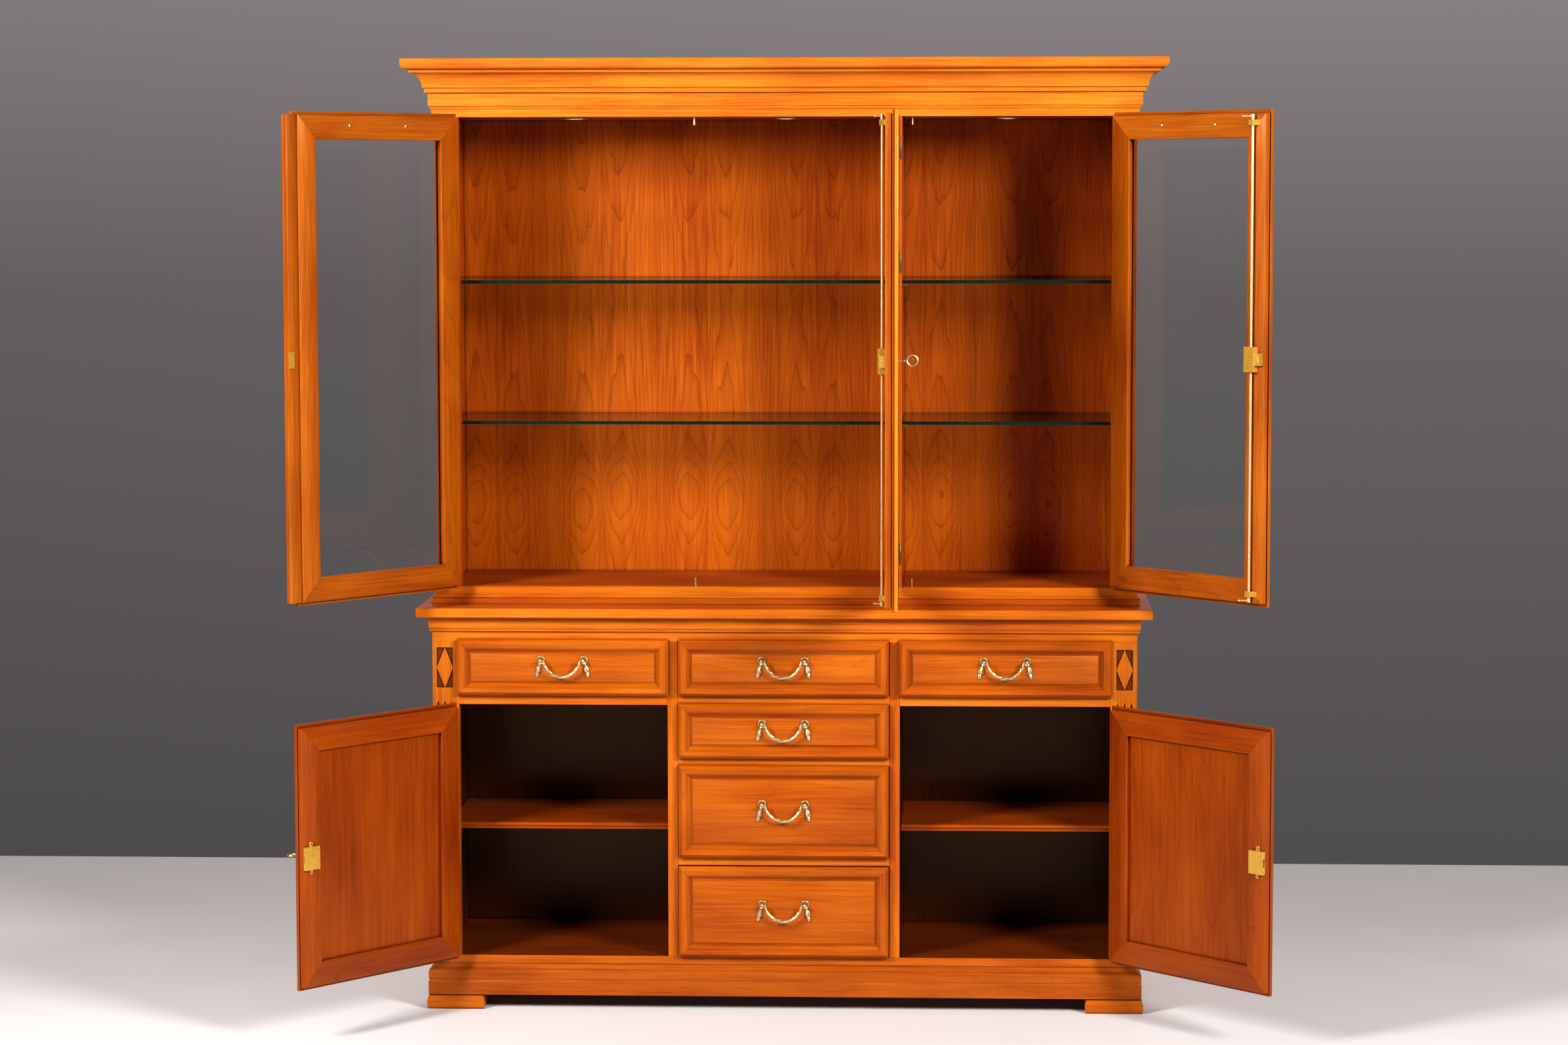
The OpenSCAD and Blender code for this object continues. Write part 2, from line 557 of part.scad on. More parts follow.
// One drawer: moulded overlay front with a sunk panel, and a box of four boards.
module drawer(i) {
  x0 = drawer_x[i][0];
  x1 = drawer_x[i][1];
  z0 = drawer_z[i][0];
  z1 = drawer_z[i][1];
  w = drawer_frame;
  ring(x0, x1, z0, z1, w, -gap)
    polygon([[0, 0], [w, 0], [w, 8.5], [w - 4, 8.8], [w - 11.8, 16.8], [w - 14, 16.8],
             [9, 19.5], [7, 19.5], [0, 12.4]]);
  block(x0 + w, x1 - w, -8.5, -gap, z0 + w, z1 - w);
  bx0 = x0 < -300 ? -open_hw + box_gap : x0 > 0 ? bay_out + box_gap : -bay_in + box_gap;
  bx1 = x0 < -300 ? -bay_out - box_gap : x0 > 0 ? open_hw - box_gap : bay_in - box_gap;
  bz0 = z0 + 3.5;
  bz1 = z1 - 22;
  for (b = [[bx0, bx0 + 10], [bx1 - 10, bx1]]) block(b[0], b[1], -gap, drawer_d, bz0, bz1);
  block(bx0 + 10, bx1 - 10, drawer_d - 10, drawer_d, bz0, bz1);
  block(bx0 + 10, bx1 - 10, -gap, drawer_d - 10, bz0 + 6, bz0 + 12);
}

hinge_y = -26;

// Two posts of a swag handle, each with a rosette and a leaf drop on the panel. The ball
// at the tip has a socket on its inner side for the swag's pin.
module posts(i) translate([handle_x(i), 0, handle_z(i)])
  for (s = [-1, 1]) translate([s * handle_c / 2, 0, 0]) difference() {
   union() {
    translate([0, -8.5, 0]) rotate([90, 0, 0]) cylinder(h = 3.5, r = 9.3, $fn = 24);
    translate([0, -10, 0]) rotate([90, 0, 0]) cylinder(h = 16, r = 2.8, $fn = 12);
    translate([0, hinge_y, 0]) sphere(r = 4, $fn = 12);
    translate([0, -8.5, 0]) rotate([90, 0, 0]) rotate([0, 0, s * 15]) linear_extrude(height = 4)
      polygon([[-2.5, -6], [2.5, -6], [5.5, -17], [5, -27], [2, -36], [0, -41],
               [-2, -36], [-5, -27], [-5.5, -17]]);
   }
   translate([-s * 4.5, hinge_y, 0]) rotate([0, 90, 0]) cylinder(h = 5, r = 1.5, $fn = 24, center = true);
  }

// The swinging swag between the posts, with a pin at each end.
module bail(i) {
  c = handle_c / 2 - 7.8;
  sag = 36.5;
  r = (c * c + sag * sag) / (2 * sag);
  half = asin(c / r);
  translate([handle_x(i), hinge_y, handle_z(i) + r - sag]) rotate([90, 0, 0])
    rotate([0, 0, -90 - half]) rotate_extrude(angle = 2 * half, $fn = 48)
      translate([r, 0]) circle(r = 3, $fn = 8);
  for (s = [-1, 1]) translate([handle_x(i) + s * (c + 2.4), hinge_y, handle_z(i)]) rotate([0, 90, 0])
    cylinder(h = 6.2, r = 1.2, $fn = 24, center = true);
}

feet();
plinth();
base_floor();
base_sides();
base_partitions();
back_panels();
face_rails();
pilasters();
cupboard_shelves();
drawer_runners();
counter_moulding();
counter();
upper_plinth();
upper_boards();
corner_posts();
upper_sides();
divider();
cornice();
glass_shelves();
pins();
spotlights();
hinges();
lu_frame();
lu_glass();
lu_strike();
c_frame();
c_glass();
c_lock();
c_rods();
c_key();
ru_frame();
ru_glass();
ru_lock();
ru_rods();
ll_frame();
ll_panel();
ll_lock();
ll_bolt();
ll_key();
rl_frame();
rl_panel();
rl_lock();
color(cherry) drawer(0);  // drawer_1
color(brass) posts(0);  // posts_1
color(brass) bail(0);  // bail_1
color(cherry) drawer(1);  // drawer_2
color(brass) posts(1);  // posts_2
color(brass) bail(1);  // bail_2
color(cherry) drawer(2);  // drawer_3
color(brass) posts(2);  // posts_3
color(brass) bail(2);  // bail_3
color(cherry) drawer(3);  // drawer_4
color(brass) posts(3);  // posts_4
color(brass) bail(3);  // bail_4
color(cherry) drawer(4);  // drawer_5
color(brass) posts(4);  // posts_5
color(brass) bail(4);  // bail_5
color(cherry) drawer(5);  // drawer_6
color(brass) posts(5);  // posts_6
color(brass) bail(5);  // bail_6
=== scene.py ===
"""China cabinet with glass doors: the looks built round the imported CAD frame.

X runs to the right, the front faces -Y, Z is up from the floor. The world is in metres. Sizes from
the design are in millimetres, and straight() and hang() turn them into places in the world.
"""

import math
import random

import bmesh
import bpy
from mathutils import Matrix, Vector


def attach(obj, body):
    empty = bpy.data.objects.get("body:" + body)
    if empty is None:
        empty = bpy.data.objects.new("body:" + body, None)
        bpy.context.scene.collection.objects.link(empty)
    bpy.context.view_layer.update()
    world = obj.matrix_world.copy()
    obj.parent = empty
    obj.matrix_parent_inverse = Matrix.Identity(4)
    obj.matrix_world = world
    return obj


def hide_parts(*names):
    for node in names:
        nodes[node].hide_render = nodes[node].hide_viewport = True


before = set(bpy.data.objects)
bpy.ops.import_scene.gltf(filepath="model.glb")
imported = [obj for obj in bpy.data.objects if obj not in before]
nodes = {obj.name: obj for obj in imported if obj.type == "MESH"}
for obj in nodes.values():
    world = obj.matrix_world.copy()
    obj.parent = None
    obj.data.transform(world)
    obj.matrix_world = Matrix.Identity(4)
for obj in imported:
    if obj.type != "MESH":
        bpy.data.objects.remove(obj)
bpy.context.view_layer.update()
scene = bpy.context.scene
MM = 0.001


# ---------------------------------------------------------------- sizes from the design, in millimetres
# Hinge axes: how far from the middle for the outer doors and the middle door, then the y of the
# base's and of the upper cabinet's axes.
PIVOT_X = 739.5
PIVOT_MID = 259.2
BASE_PY = -15.5
UPPER_PY = 51.8

# Doors in their own place: x from the hinge axis, y into the cabinet, and the front face at OUTER.
# A lip LIP_T thick overlaps the opening by LIP above and below. The layer behind it starts further
# from the hinge, at START_C on the middle door and BACK_START on the others. Members are MEMBER wide.
DOOR_T = 28.0
LIP_T = 13.0
LIP = 8.0
OUTER = 2.0
BACK_START = 12.3
START_C = 23.6
MEMBER = 52.0
UPPER_Z = (955.5, 2000.0)
LOWER_Z = (126.5, 689.3)

# Free edges of the doors, and the end of the left door's rebate strip.
FREE_C = 477.7
FREE_RU = 471.5
FREE_LOW = 478.0
STILE_LU = 489.3
END_LU = 519.5

# How far each door stands open at rest, in degrees, and the body it belongs to.
OPEN = {"lu": 127.9, "c": 90.5, "ru": 132.4, "ll": 128.6, "rl": 133.0}
BODY = {
    "lu": "upper_left_door", "c": "upper_middle_door", "ru": "upper_right_door",
    "ll": "lower_left_door", "rl": "lower_right_door",
}

# Handles: half the post spacing, height over the drawer's middle, depth of the swag's axis.
HANDLE_HALF = 48.0
HANDLE_UP = 17.5
SWAG_Y = -26.0

# Drawers: width of the moulded frame, y of the panel's face and of the front's back, y of the box's
# back, its wall, the outer edge of a side bay, the stack's half opening, the inner edge of a side
# bay, and the gap on each side of a box.
DRAWER_FRAME = 30.8
PANEL_FACE = -9.0
FRONT_BACK = -0.5
DRAWER_DEPTH = 372.0
BOX_WALL = 10.0
OPEN_HW = 728.0
BAY_IN = 236.6
BAY_OUT = 259.7
BOX_GAP = 6.3

# Each drawer front as x0, x1, z0, z1: three in the top row, then the three of the stack.
ROW_Z = (712.5, 837.4)
STACK_X = (-235.2, 235.2)
SIDE_X = (257.2, 731.3)
DRAWERS = (
    (-SIDE_X[1], -SIDE_X[0], *ROW_Z),
    (*STACK_X, *ROW_Z),
    (*SIDE_X, *ROW_Z),
    (*STACK_X, 572.3, 694.7),
    (*STACK_X, 348.4, 555.9),
    (*STACK_X, 123.2, 327.6),
)
DRAWER_NAMES = ("top_left", "top_middle", "top_right", "second", "third", "bottom")


# ---------------------------------------------------------------- shader helpers
class Tree:
    """A short way to write node trees."""

    def __init__(self, tree):
        self.tree = tree

    def add(self, kind, **settings):
        node = self.tree.nodes.new(kind)
        for key, value in settings.items():
            setattr(node, key, value)
        return node

    def link(self, source, target):
        self.tree.links.new(source, target)

    def put(self, socket, value):
        if isinstance(value, bpy.types.NodeSocket):
            self.link(value, socket)
        else:
            socket.default_value = value

    def split(self, vector):
        """The x, y and z of a vector."""
        node = self.add("ShaderNodeSeparateXYZ")
        self.link(vector, node.inputs[0])
        return node.outputs

    def join(self, *parts):
        """A vector from its x, y and z."""
        node = self.add("ShaderNodeCombineXYZ")
        for source, target in zip(parts, node.inputs):
            self.link(source, target)
        return node.outputs[0]

    def math(self, operation, a, b=0.0, c=0.0):
        node = self.add("ShaderNodeMath", operation=operation)
        for socket, value in zip(node.inputs, (a, b, c)):
            self.put(socket, value)
        return node.outputs[0]

    def scaled(self, vector, size):
        node = self.add("ShaderNodeVectorMath", operation="MULTIPLY")
        self.put(node.inputs[0], vector)
        node.inputs[1].default_value = size
        return node.outputs[0]

    def noise(self, vector, scale=1.0, detail=2.0, rough=0.5):
        node = self.add("ShaderNodeTexNoise")
        self.put(node.inputs["Vector"], vector)
        node.inputs["Scale"].default_value = scale
        node.inputs["Detail"].default_value = detail
        node.inputs["Roughness"].default_value = rough
        return node.outputs["Fac"]

    def remap(self, value, low, high, to_low=0.0, to_high=1.0):
        node = self.add("ShaderNodeMapRange")
        node.clamp = True
        for socket, number in zip(node.inputs, (value, low, high, to_low, to_high)):
            self.put(socket, number)
        return node.outputs[0]

    def ramp(self, value, stops):
        node = self.add("ShaderNodeValToRGB")
        bar = node.color_ramp
        while len(bar.elements) < len(stops):
            bar.elements.new(0.5)
        for element, (place, colour) in zip(bar.elements, stops):
            element.position = place
            element.color = (*colour, 1.0)
        self.put(node.inputs[0], value)
        return node.outputs[0]

    def mix(self, factor, a, b, blend="MIX"):
        node = self.add("ShaderNodeMix", data_type="RGBA", blend_type=blend)
        self.put(node.inputs[0], factor)
        self.put(node.inputs[6], a if isinstance(a, bpy.types.NodeSocket) else (*a, 1.0))
        self.put(node.inputs[7], b if isinstance(b, bpy.types.NodeSocket) else (*b, 1.0))
        return node.outputs[2]


def wood_figure():
    """A node group: grain-space vector in metres (x along the grain) to cherry colour factors.

    Height is the board's distance from the heart of the log, Lean and Wander how much that
    distance drifts along the board, and Density the growth rings in a metre."""
    group = bpy.data.node_groups.new("wood_figure", "ShaderNodeTree")
    face = group.interface
    face.new_socket("Vector", in_out="INPUT", socket_type="NodeSocketVector")
    for name in ("Height", "Lean", "Wander", "Density"):
        face.new_socket(name, in_out="INPUT", socket_type="NodeSocketFloat")
    for name in ("Rings", "Fibre", "Streak", "Cloud"):
        face.new_socket(name, in_out="OUTPUT", socket_type="NodeSocketFloat")
    t = Tree(group)
    enter = group.nodes.new("NodeGroupInput")
    leave = group.nodes.new("NodeGroupOutput")
    vector = enter.outputs["Vector"]
    x, y, _ = t.split(vector)
    # Growth rings of a slightly leaning, wandering trunk, cut by the board's face.
    wander = t.noise(t.scaled(vector, (1.3, 5.0, 5.0)), detail=2.0)
    ripple = t.noise(t.scaled(vector, (9.0, 45.0, 45.0)), detail=2.0)
    drift = t.math("MULTIPLY", t.math("SUBTRACT", wander, 0.5), enter.outputs["Wander"])
    depth = t.math("ADD", drift, enter.outputs["Height"])
    depth = t.math("MULTIPLY_ADD", x, enter.outputs["Lean"], depth)
    depth = t.math("MULTIPLY_ADD", ripple, 0.0045, depth)
    radius = t.math("SQRT", t.math("ADD", t.math("MULTIPLY", y, y), t.math("MULTIPLY", depth, depth)))
    turns = t.math("FRACT", t.math("MULTIPLY", radius, enter.outputs["Density"]))
    line = t.math("MULTIPLY", t.math("POWER", turns, 22.0), 0.75)
    late = t.math("MULTIPLY_ADD", t.math("POWER", turns, 4.0), 0.25, line)
    fall = t.remap(turns, 0.965, 1.0, 1.0, 0.0)
    t.link(t.math("MULTIPLY", late, fall), leave.inputs["Rings"])
    t.link(t.noise(t.scaled(vector, (10.0, 520.0, 520.0)), detail=2.0, rough=0.6), leave.inputs["Fibre"])
    t.link(t.noise(t.scaled(vector, (3.4, 115.0, 115.0)), detail=3.0, rough=0.65), leave.inputs["Streak"])
    t.link(t.noise(t.scaled(vector, (3.0, 8.0, 8.0)), detail=2.0), leave.inputs["Cloud"])
    return group


FIGURE = wood_figure()
# How much streaks, fibres and broad clouds move the tone, and the tone's level.
STREAK_SHARE = 0.62
FIBRE_SHARE = 0.55
CLOUD_SHARE = 0.8
TONE_LEVEL = 0.48
# Reach of the painted shade, an ambient-occlusion darkening in corners, mouldings and gaps between parts,
# in metres, and its colour.
HOLLOW_REACH = 0.007
PAINTED_HOLLOW_SHADE = (0.30, 0.16, 0.10)


def swizzled(t, along):
    """Object position turned so that x runs along the grain: along is x, y or z."""
    x, y, z = t.split(t.add("ShaderNodeTexCoord").outputs["Object"])
    return t.join(*{"x": (x, z, y), "y": (y, x, z), "z": (z, x, y)}[along])


def mitred_swizzle(t, half_width, front):
    """Grain along X on the front, along Y on the sides, parted at the mitre."""
    x, y, z = t.split(t.add("ShaderNodeTexCoord").outputs["Object"])
    reach = t.math("SUBTRACT", t.math("ABSOLUTE", x), half_width)
    behind = t.math("SUBTRACT", y, front)
    side = t.math("GREATER_THAN", t.math("ADD", reach, behind), 0.0)
    node = t.add("ShaderNodeMix", data_type="VECTOR")
    t.link(side, node.inputs[0])
    t.link(t.join(x, z, y), node.inputs[4])
    t.link(t.join(y, z, x), node.inputs[5])
    return node.outputs[1]


# Where the parts of boards darkened by painted shade begin and end, in metres.
INNER_SIDE = 0.786
LOW_TIER_TOP = 0.9265
COUNTER_LEVEL = 0.89
SUNK_FIELD = (0.0022, 0.006)


def painted_shade_mask(t, kind):
    """Where painted shade darkens a board's colour, as 0 or 1, from its place and facing."""
    coords = t.add("ShaderNodeTexCoord")
    x, y, z = t.split(coords.outputs["Object"])
    _, facing_y, facing_z = t.split(coords.outputs["Normal"])
    if kind == "not_front":
        return t.math("GREATER_THAN", facing_y, -0.5)
    if kind == "inner_side":
        return t.math("LESS_THAN", t.math("ABSOLUTE", x), INNER_SIDE)
    if kind == "upward":
        return t.math("GREATER_THAN", facing_z, 0.8)
    if kind == "low_tier":
        return t.math("LESS_THAN", z, LOW_TIER_TOP)
    if kind == "below_counter":
        return t.math("LESS_THAN", z, COUNTER_LEVEL)
    sunk = t.math("GREATER_THAN", y, SUNK_FIELD[0])
    return t.math("MULTIPLY", sunk, t.math("LESS_THAN", y, SUNK_FIELD[1]))


# Veneer leaves, in metres: a joint's distance from the middle, the heart's from the joint, and how
# far a pair may slip upwards.
LEAF_JOINT = 0.6926
LEAF_HEART = 0.043
LEAF_SLIP = 0.05
# Ovals stand at the knot's level. Above it the distance from the heart rises and falls in a wave.
KNOT_LEVEL = 1.14
KNOT_REACH = 0.085
KNOT_RISE = 0.0100
FIGURE_PERIOD = 0.99
FIGURE_HEIGHT = 0.088
FIGURE_WAVE = 0.0068
# How much the leaves differ in tone.
LEAF_TINT = 0.20


def veneer_leaves(t, vector, leaf):
    """Book-matched veneer: each leaf turned over at its joint, with ovals low down and arches above.

    Gives the leaf's own place, its distance from the heart and its tint."""
    up, wide, _ = t.split(vector)
    across = t.math("ADD", wide, LEAF_JOINT + 20 * leaf)
    folded = t.math("PINGPONG", across, leaf)
    pair = t.math("FLOOR", t.math("DIVIDE", across, 2 * leaf))
    number = t.math("FLOOR", t.math("DIVIDE", across, leaf))
    tint = t.math("FRACT", t.math("MULTIPLY", number, 0.618))
    slip = t.math("MULTIPLY", t.math("FRACT", t.math("MULTIPLY", pair, 0.377)), LEAF_SLIP)
    along = t.math("ADD", up, slip)
    place = t.join(along, t.math("SUBTRACT", folded, LEAF_HEART), t.math("MULTIPLY", pair, 0.006))
    above = t.math("SUBTRACT", along, KNOT_LEVEL)
    wave = t.math("COSINE", t.math("MULTIPLY", above, 2 * math.pi / FIGURE_PERIOD))
    squared = t.math("POWER", t.math("DIVIDE", above, KNOT_REACH), 2.0)
    knot = t.math("EXPONENT", t.math("MULTIPLY", squared, -1.0))
    height = t.math("MULTIPLY_ADD", wave, -FIGURE_WAVE, FIGURE_HEIGHT)
    return place, t.math("MULTIPLY_ADD", knot, -KNOT_RISE, height), tint


def wood(name, grain, light, dark, line=0.28, gloss=0.36, coat=0.08, seed=0.0, leaf=0.0, shaded=None,
         shade=(0.16, 0.13, 0.12)):
    """Stained and lacquered wood. grain is "attribute", "x", "y", "z" or (half width, front).

    line is the strength of the ring lines, gloss the roughness, leaf the width of a veneer leaf, and
    seed moves the board in the log. shaded names a part mask where the colour is multiplied by
    shade, as painted shade on parts that the light reaches less."""
    material = bpy.data.materials.new(name)
    material.use_nodes = True
    t = Tree(material.node_tree)
    shader = material.node_tree.nodes["Principled BSDF"]
    if grain == "attribute":
        vector = t.add("ShaderNodeAttribute", attribute_name="grain").outputs["Vector"]
    elif isinstance(grain, tuple):
        vector = mitred_swizzle(t, *grain)
    else:
        vector = swizzled(t, grain)
    figure = t.add("ShaderNodeGroup", node_tree=FIGURE)
    if leaf:
        vector, height, tint = veneer_leaves(t, vector, leaf)
        numbers = (("Lean", 0.0), ("Wander", 0.020), ("Density", 210.0))
    else:
        shift = t.add("ShaderNodeVectorMath", operation="ADD")
        t.put(shift.inputs[0], vector)
        shift.inputs[1].default_value = (seed * 3.1, seed * 0.013, seed * 0.07)
        vector = shift.outputs[0]
        height = t.math("ADD", t.split(vector)[2], 0.05)
        numbers = (("Lean", 0.035), ("Wander", 0.10), ("Density", 130.0))
    t.link(vector, figure.inputs["Vector"])
    t.link(height, figure.inputs["Height"])
    for socket, number in numbers:
        figure.inputs[socket].default_value = number
    rings, fibre, streak, clouds = figure.outputs
    base = TONE_LEVEL - 0.5 * (STREAK_SHARE + FIBRE_SHARE + CLOUD_SHARE)
    tone = t.math("MULTIPLY_ADD", streak, STREAK_SHARE, base)
    tone = t.math("MULTIPLY_ADD", clouds, CLOUD_SHARE, tone)
    tone = t.math("MULTIPLY_ADD", fibre, FIBRE_SHARE, tone)
    if leaf:
        tone = t.math("MULTIPLY_ADD", tint, LEAF_TINT, t.math("SUBTRACT", tone, 0.06))
    middle = tuple((a + b) / 2 for a, b in zip(light, dark))
    colour = t.ramp(tone, ((0.15, dark), (0.5, middle), (0.85, light)))
    colour = t.mix(t.math("MULTIPLY", rings, line), colour, tuple(c * 0.5 for c in dark))
    # Painted shade: the colour is multiplied down on the masked part.
    if shaded:
        colour = t.mix(painted_shade_mask(t, shaded), colour, t.mix(1.0, colour, shade, "MULTIPLY"))
    # Painted shade: ambient occlusion darkens the colour in corners, mouldings and gaps between
    # neighbouring parts.
    hollow = t.add("ShaderNodeAmbientOcclusion")
    hollow.samples = 4
    hollow.inputs["Distance"].default_value = HOLLOW_REACH
    hollow_shade = t.mix(t.remap(hollow.outputs["AO"], 0.35, 0.92), PAINTED_HOLLOW_SHADE, (1, 1, 1))
    colour = t.mix(1.0, colour, hollow_shade, "MULTIPLY")
    t.link(colour, shader.inputs["Base Color"])
    t.link(t.remap(fibre, 0.2, 0.8, gloss - 0.05, gloss + 0.08), shader.inputs["Roughness"])
    shader.inputs["Coat Weight"].default_value = coat
    shader.inputs["Coat Roughness"].default_value = 0.16
    shader.inputs["Coat IOR"].default_value = 1.5
    shader.inputs["Specular IOR Level"].default_value = 0.4
    shader.inputs["Specular Tint"].default_value = (1.0, 0.62, 0.30, 1.0)
    bump = t.add("ShaderNodeBump")
    bump.inputs["Strength"].default_value = 0.22
    bump.inputs["Distance"].default_value = 0.0004
    height = t.math("ADD", t.math("MULTIPLY", fibre, 0.6), t.math("MULTIPLY", rings, -0.5))
    t.link(height, bump.inputs["Height"])
    t.link(bump.outputs[0], shader.inputs["Normal"])
    return material


def metal(name, colour, dark, rough, wear=1.0, body=1.0):
    """Hand-rubbed, slightly uneven metal, darker in its hollows. body is how metallic it is."""
    material = bpy.data.materials.new(name)
    material.use_nodes = True
    t = Tree(material.node_tree)
    shader = material.node_tree.nodes["Principled BSDF"]
    coords = t.add("ShaderNodeTexCoord").outputs["Object"]
    patches = t.noise(coords, scale=160.0, detail=3.0)
    scratches = t.noise(t.scaled(coords, (300.0, 300.0, 2400.0)), detail=2.0)
    shade = t.remap(patches, 0.35, 0.7)
    pointiness = t.add("ShaderNodeNewGeometry").outputs["Pointiness"]
    hollow = t.remap(pointiness, 0.40, 0.50, wear, 0.0)
    colour_socket = t.mix(shade, colour, tuple(c * 0.82 for c in colour))
    colour_socket = t.mix(hollow, colour_socket, dark)
    t.link(colour_socket, shader.inputs["Base Color"])
    shader.inputs["Metallic"].default_value = body
    t.link(t.remap(scratches, 0.3, 0.7, rough - 0.06, rough + 0.1), shader.inputs["Roughness"])
    bump = t.add("ShaderNodeBump")
    bump.inputs["Strength"].default_value = 0.12
    bump.inputs["Distance"].default_value = 0.0002
    t.link(scratches, bump.inputs["Height"])
    t.link(bump.outputs[0], shader.inputs["Normal"])
    return material


# Light and dark tone of the plain boards and of the trim.
LIGHT = (0.50, 0.132, 0.0060)
DARK = (0.225, 0.030, 0.0013)
TRIM_LIGHT = (0.57, 0.172, 0.0095)
TRIM_DARK = (0.30, 0.048, 0.0022)

# Half width and front of the mitred mouldings, in metres.
BASE_MITRE = (0.787, 0.0)
UPPER_MITRE = (0.783, 0.072)

cherry = wood("cherry_boards", "attribute", (0.43, 0.120, 0.0058), (0.185, 0.027, 0.0012), line=0.5)
drawer_wood = wood("cherry_drawer_fronts", "attribute", (0.44, 0.110, 0.0042), (0.20, 0.026, 0.0010),
                   line=0.4)
low_door_wood = wood("cherry_low_doors", "attribute", (0.33, 0.065, 0.0022), (0.145, 0.0150, 0.0006),
                     line=0.5)
# The counter's upward face is darker and redder: painted shade for the light that grazes the top.
counter_wood = wood("cherry_counter", "x", TRIM_LIGHT, TRIM_DARK, seed=1.2, shaded="upward",
                    shade=(0.92, 0.68, 0.80))
rail_wood = wood("cherry_rails", "x", TRIM_LIGHT, TRIM_DARK, seed=6.3)
feet_wood = wood("cherry_along_x", "x", LIGHT, DARK, seed=1.7)
upright_wood = wood("cherry_along_z", "z", (0.46, 0.100, 0.0042), (0.21, 0.023, 0.0010), seed=4.1)
upper_board_wood = wood("cherry_upper_boards", "x", (0.41, 0.080, 0.0035), (0.185, 0.018, 0.0008),
                        gloss=0.62, coat=0.0, seed=3.8)
closing_wood = wood("cherry_closing_stile", "attribute", TRIM_LIGHT, TRIM_DARK)
# The cover strip is lighter than the frames beside it: a painted highlight, matched to the lit edge of the
# open middle door.
strip_wood = wood("cherry_cover_strip", "attribute", (0.66, 0.215, 0.0150), (0.42, 0.090, 0.0045))
# The side walls of the pilasters' sunk fields are darkened: painted shade in the recesses.
pilaster_wood = wood("cherry_pilaster", "z", (0.56, 0.175, 0.0085), (0.26, 0.042, 0.0018), seed=4.4,
                     shaded="sunk", shade=(0.30, 0.20, 0.18))
# The inner faces of the base sides, partitions and floor, and the back below the counter, are darker:
# partly the wood's own darker tone, partly painted shade where less light falls into the cupboards.
side_wood = wood("cherry_base_sides", "z", LIGHT, DARK, seed=8.1, shaded="inner_side")
partition_wood = wood("cherry_uprights", "z", LIGHT, DARK, seed=5.5, shaded="not_front")
floor_wood = wood("cherry_base_floor", "x", LIGHT, DARK, seed=2.9, shaded="not_front",
                  shade=(0.4, 0.32, 0.3))
veneer = wood("cherry_veneer_back", "z", (0.46, 0.106, 0.0044), (0.205, 0.025, 0.0011), line=1.0,
              leaf=0.1247, shaded="below_counter", shade=(0.13, 0.11, 0.10))
shelf_wood = wood("cherry_shelves", "x", (0.35, 0.070, 0.0032), (0.16, 0.018, 0.0009), seed=7.2)
plinth_wood = wood("plinth_mitred", BASE_MITRE, (0.42, 0.108, 0.0058), (0.19, 0.025, 0.0012), seed=3.3)
mould_wood = wood("counter_moulding_mitred", BASE_MITRE, TRIM_LIGHT, TRIM_DARK, line=0.4, seed=5.2)
# The upper plinth's lower tier is darker: painted shade on the concave tier that faces away from the light.
upper_plinth_wood = wood("upper_plinth_mitred", UPPER_MITRE, TRIM_LIGHT, TRIM_DARK, seed=7.7,
                         shaded="low_tier", shade=(0.7, 0.55, 0.55))
cornice_wood = wood("cornice_mitred", UPPER_MITRE, (0.60, 0.190, 0.0130), (0.32, 0.053, 0.0028), seed=9.1)
pale = wood("drawer_box_wood", "attribute", (0.60, 0.38, 0.18), (0.42, 0.24, 0.10), gloss=0.5, coat=0.05)
runner_wood = wood("runner_wood", "y", (0.56, 0.35, 0.16), (0.38, 0.22, 0.09), gloss=0.5, coat=0.05)
brass = metal("aged_brass", (0.62, 0.48, 0.26), (0.08, 0.05, 0.018), 0.30, body=0.88)
lock_brass = metal("lock_brass", (0.74, 0.43, 0.075), (0.30, 0.16, 0.04), 0.30, wear=0.6, body=0.66)
rod_brass = metal("rod_brass", (0.78, 0.54, 0.28), (0.30, 0.18, 0.07), 0.30, wear=0.6, body=0.7)
bronze = metal("hinge_bronze", (0.26, 0.15, 0.065), (0.08, 0.045, 0.018), 0.38, wear=0.5)
steel = metal("bright_steel", (0.72, 0.68, 0.58), (0.2, 0.18, 0.15), 0.24, wear=0.7)


# ---------------------------------------------------------------- mesh helpers
def new_object(name, bm, material, body, sharp=32):
    """Turns a bmesh into a piece that rides on a body. Edges over sharp degrees stay sharp."""
    mesh = bpy.data.meshes.new(name)
    bmesh.ops.recalc_face_normals(bm, faces=bm.faces)
    bm.to_mesh(mesh)
    bm.free()
    mesh.materials.append(material)
    piece = bpy.data.objects.new(name, mesh)
    scene.collection.objects.link(piece)
    mesh.shade_smooth()
    mesh.set_sharp_from_angle(angle=math.radians(sharp))
    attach(piece, body)
    return piece


def grain_layer(bm):
    return bm.verts.layers.float_vector.new("grain")


def set_grain(bm, layer, along, across, shift):
    """Stores a grain-space place on each vertex. along and across are unit directions."""
    along, across = Vector(along), Vector(across)
    normal = along.cross(across)
    for v in bm.verts:
        p = v.co
        v[layer] = Vector((p.dot(along), p.dot(across), p.dot(normal))) + Vector(shift)


def board_shift(seed):
    """A place in the log for one board, so that no two boards match."""
    rng = random.Random(seed)
    return (rng.uniform(0, 30), rng.uniform(-0.05, 0.05), rng.uniform(-0.02, 0.07) + rng.uniform(0, 3))


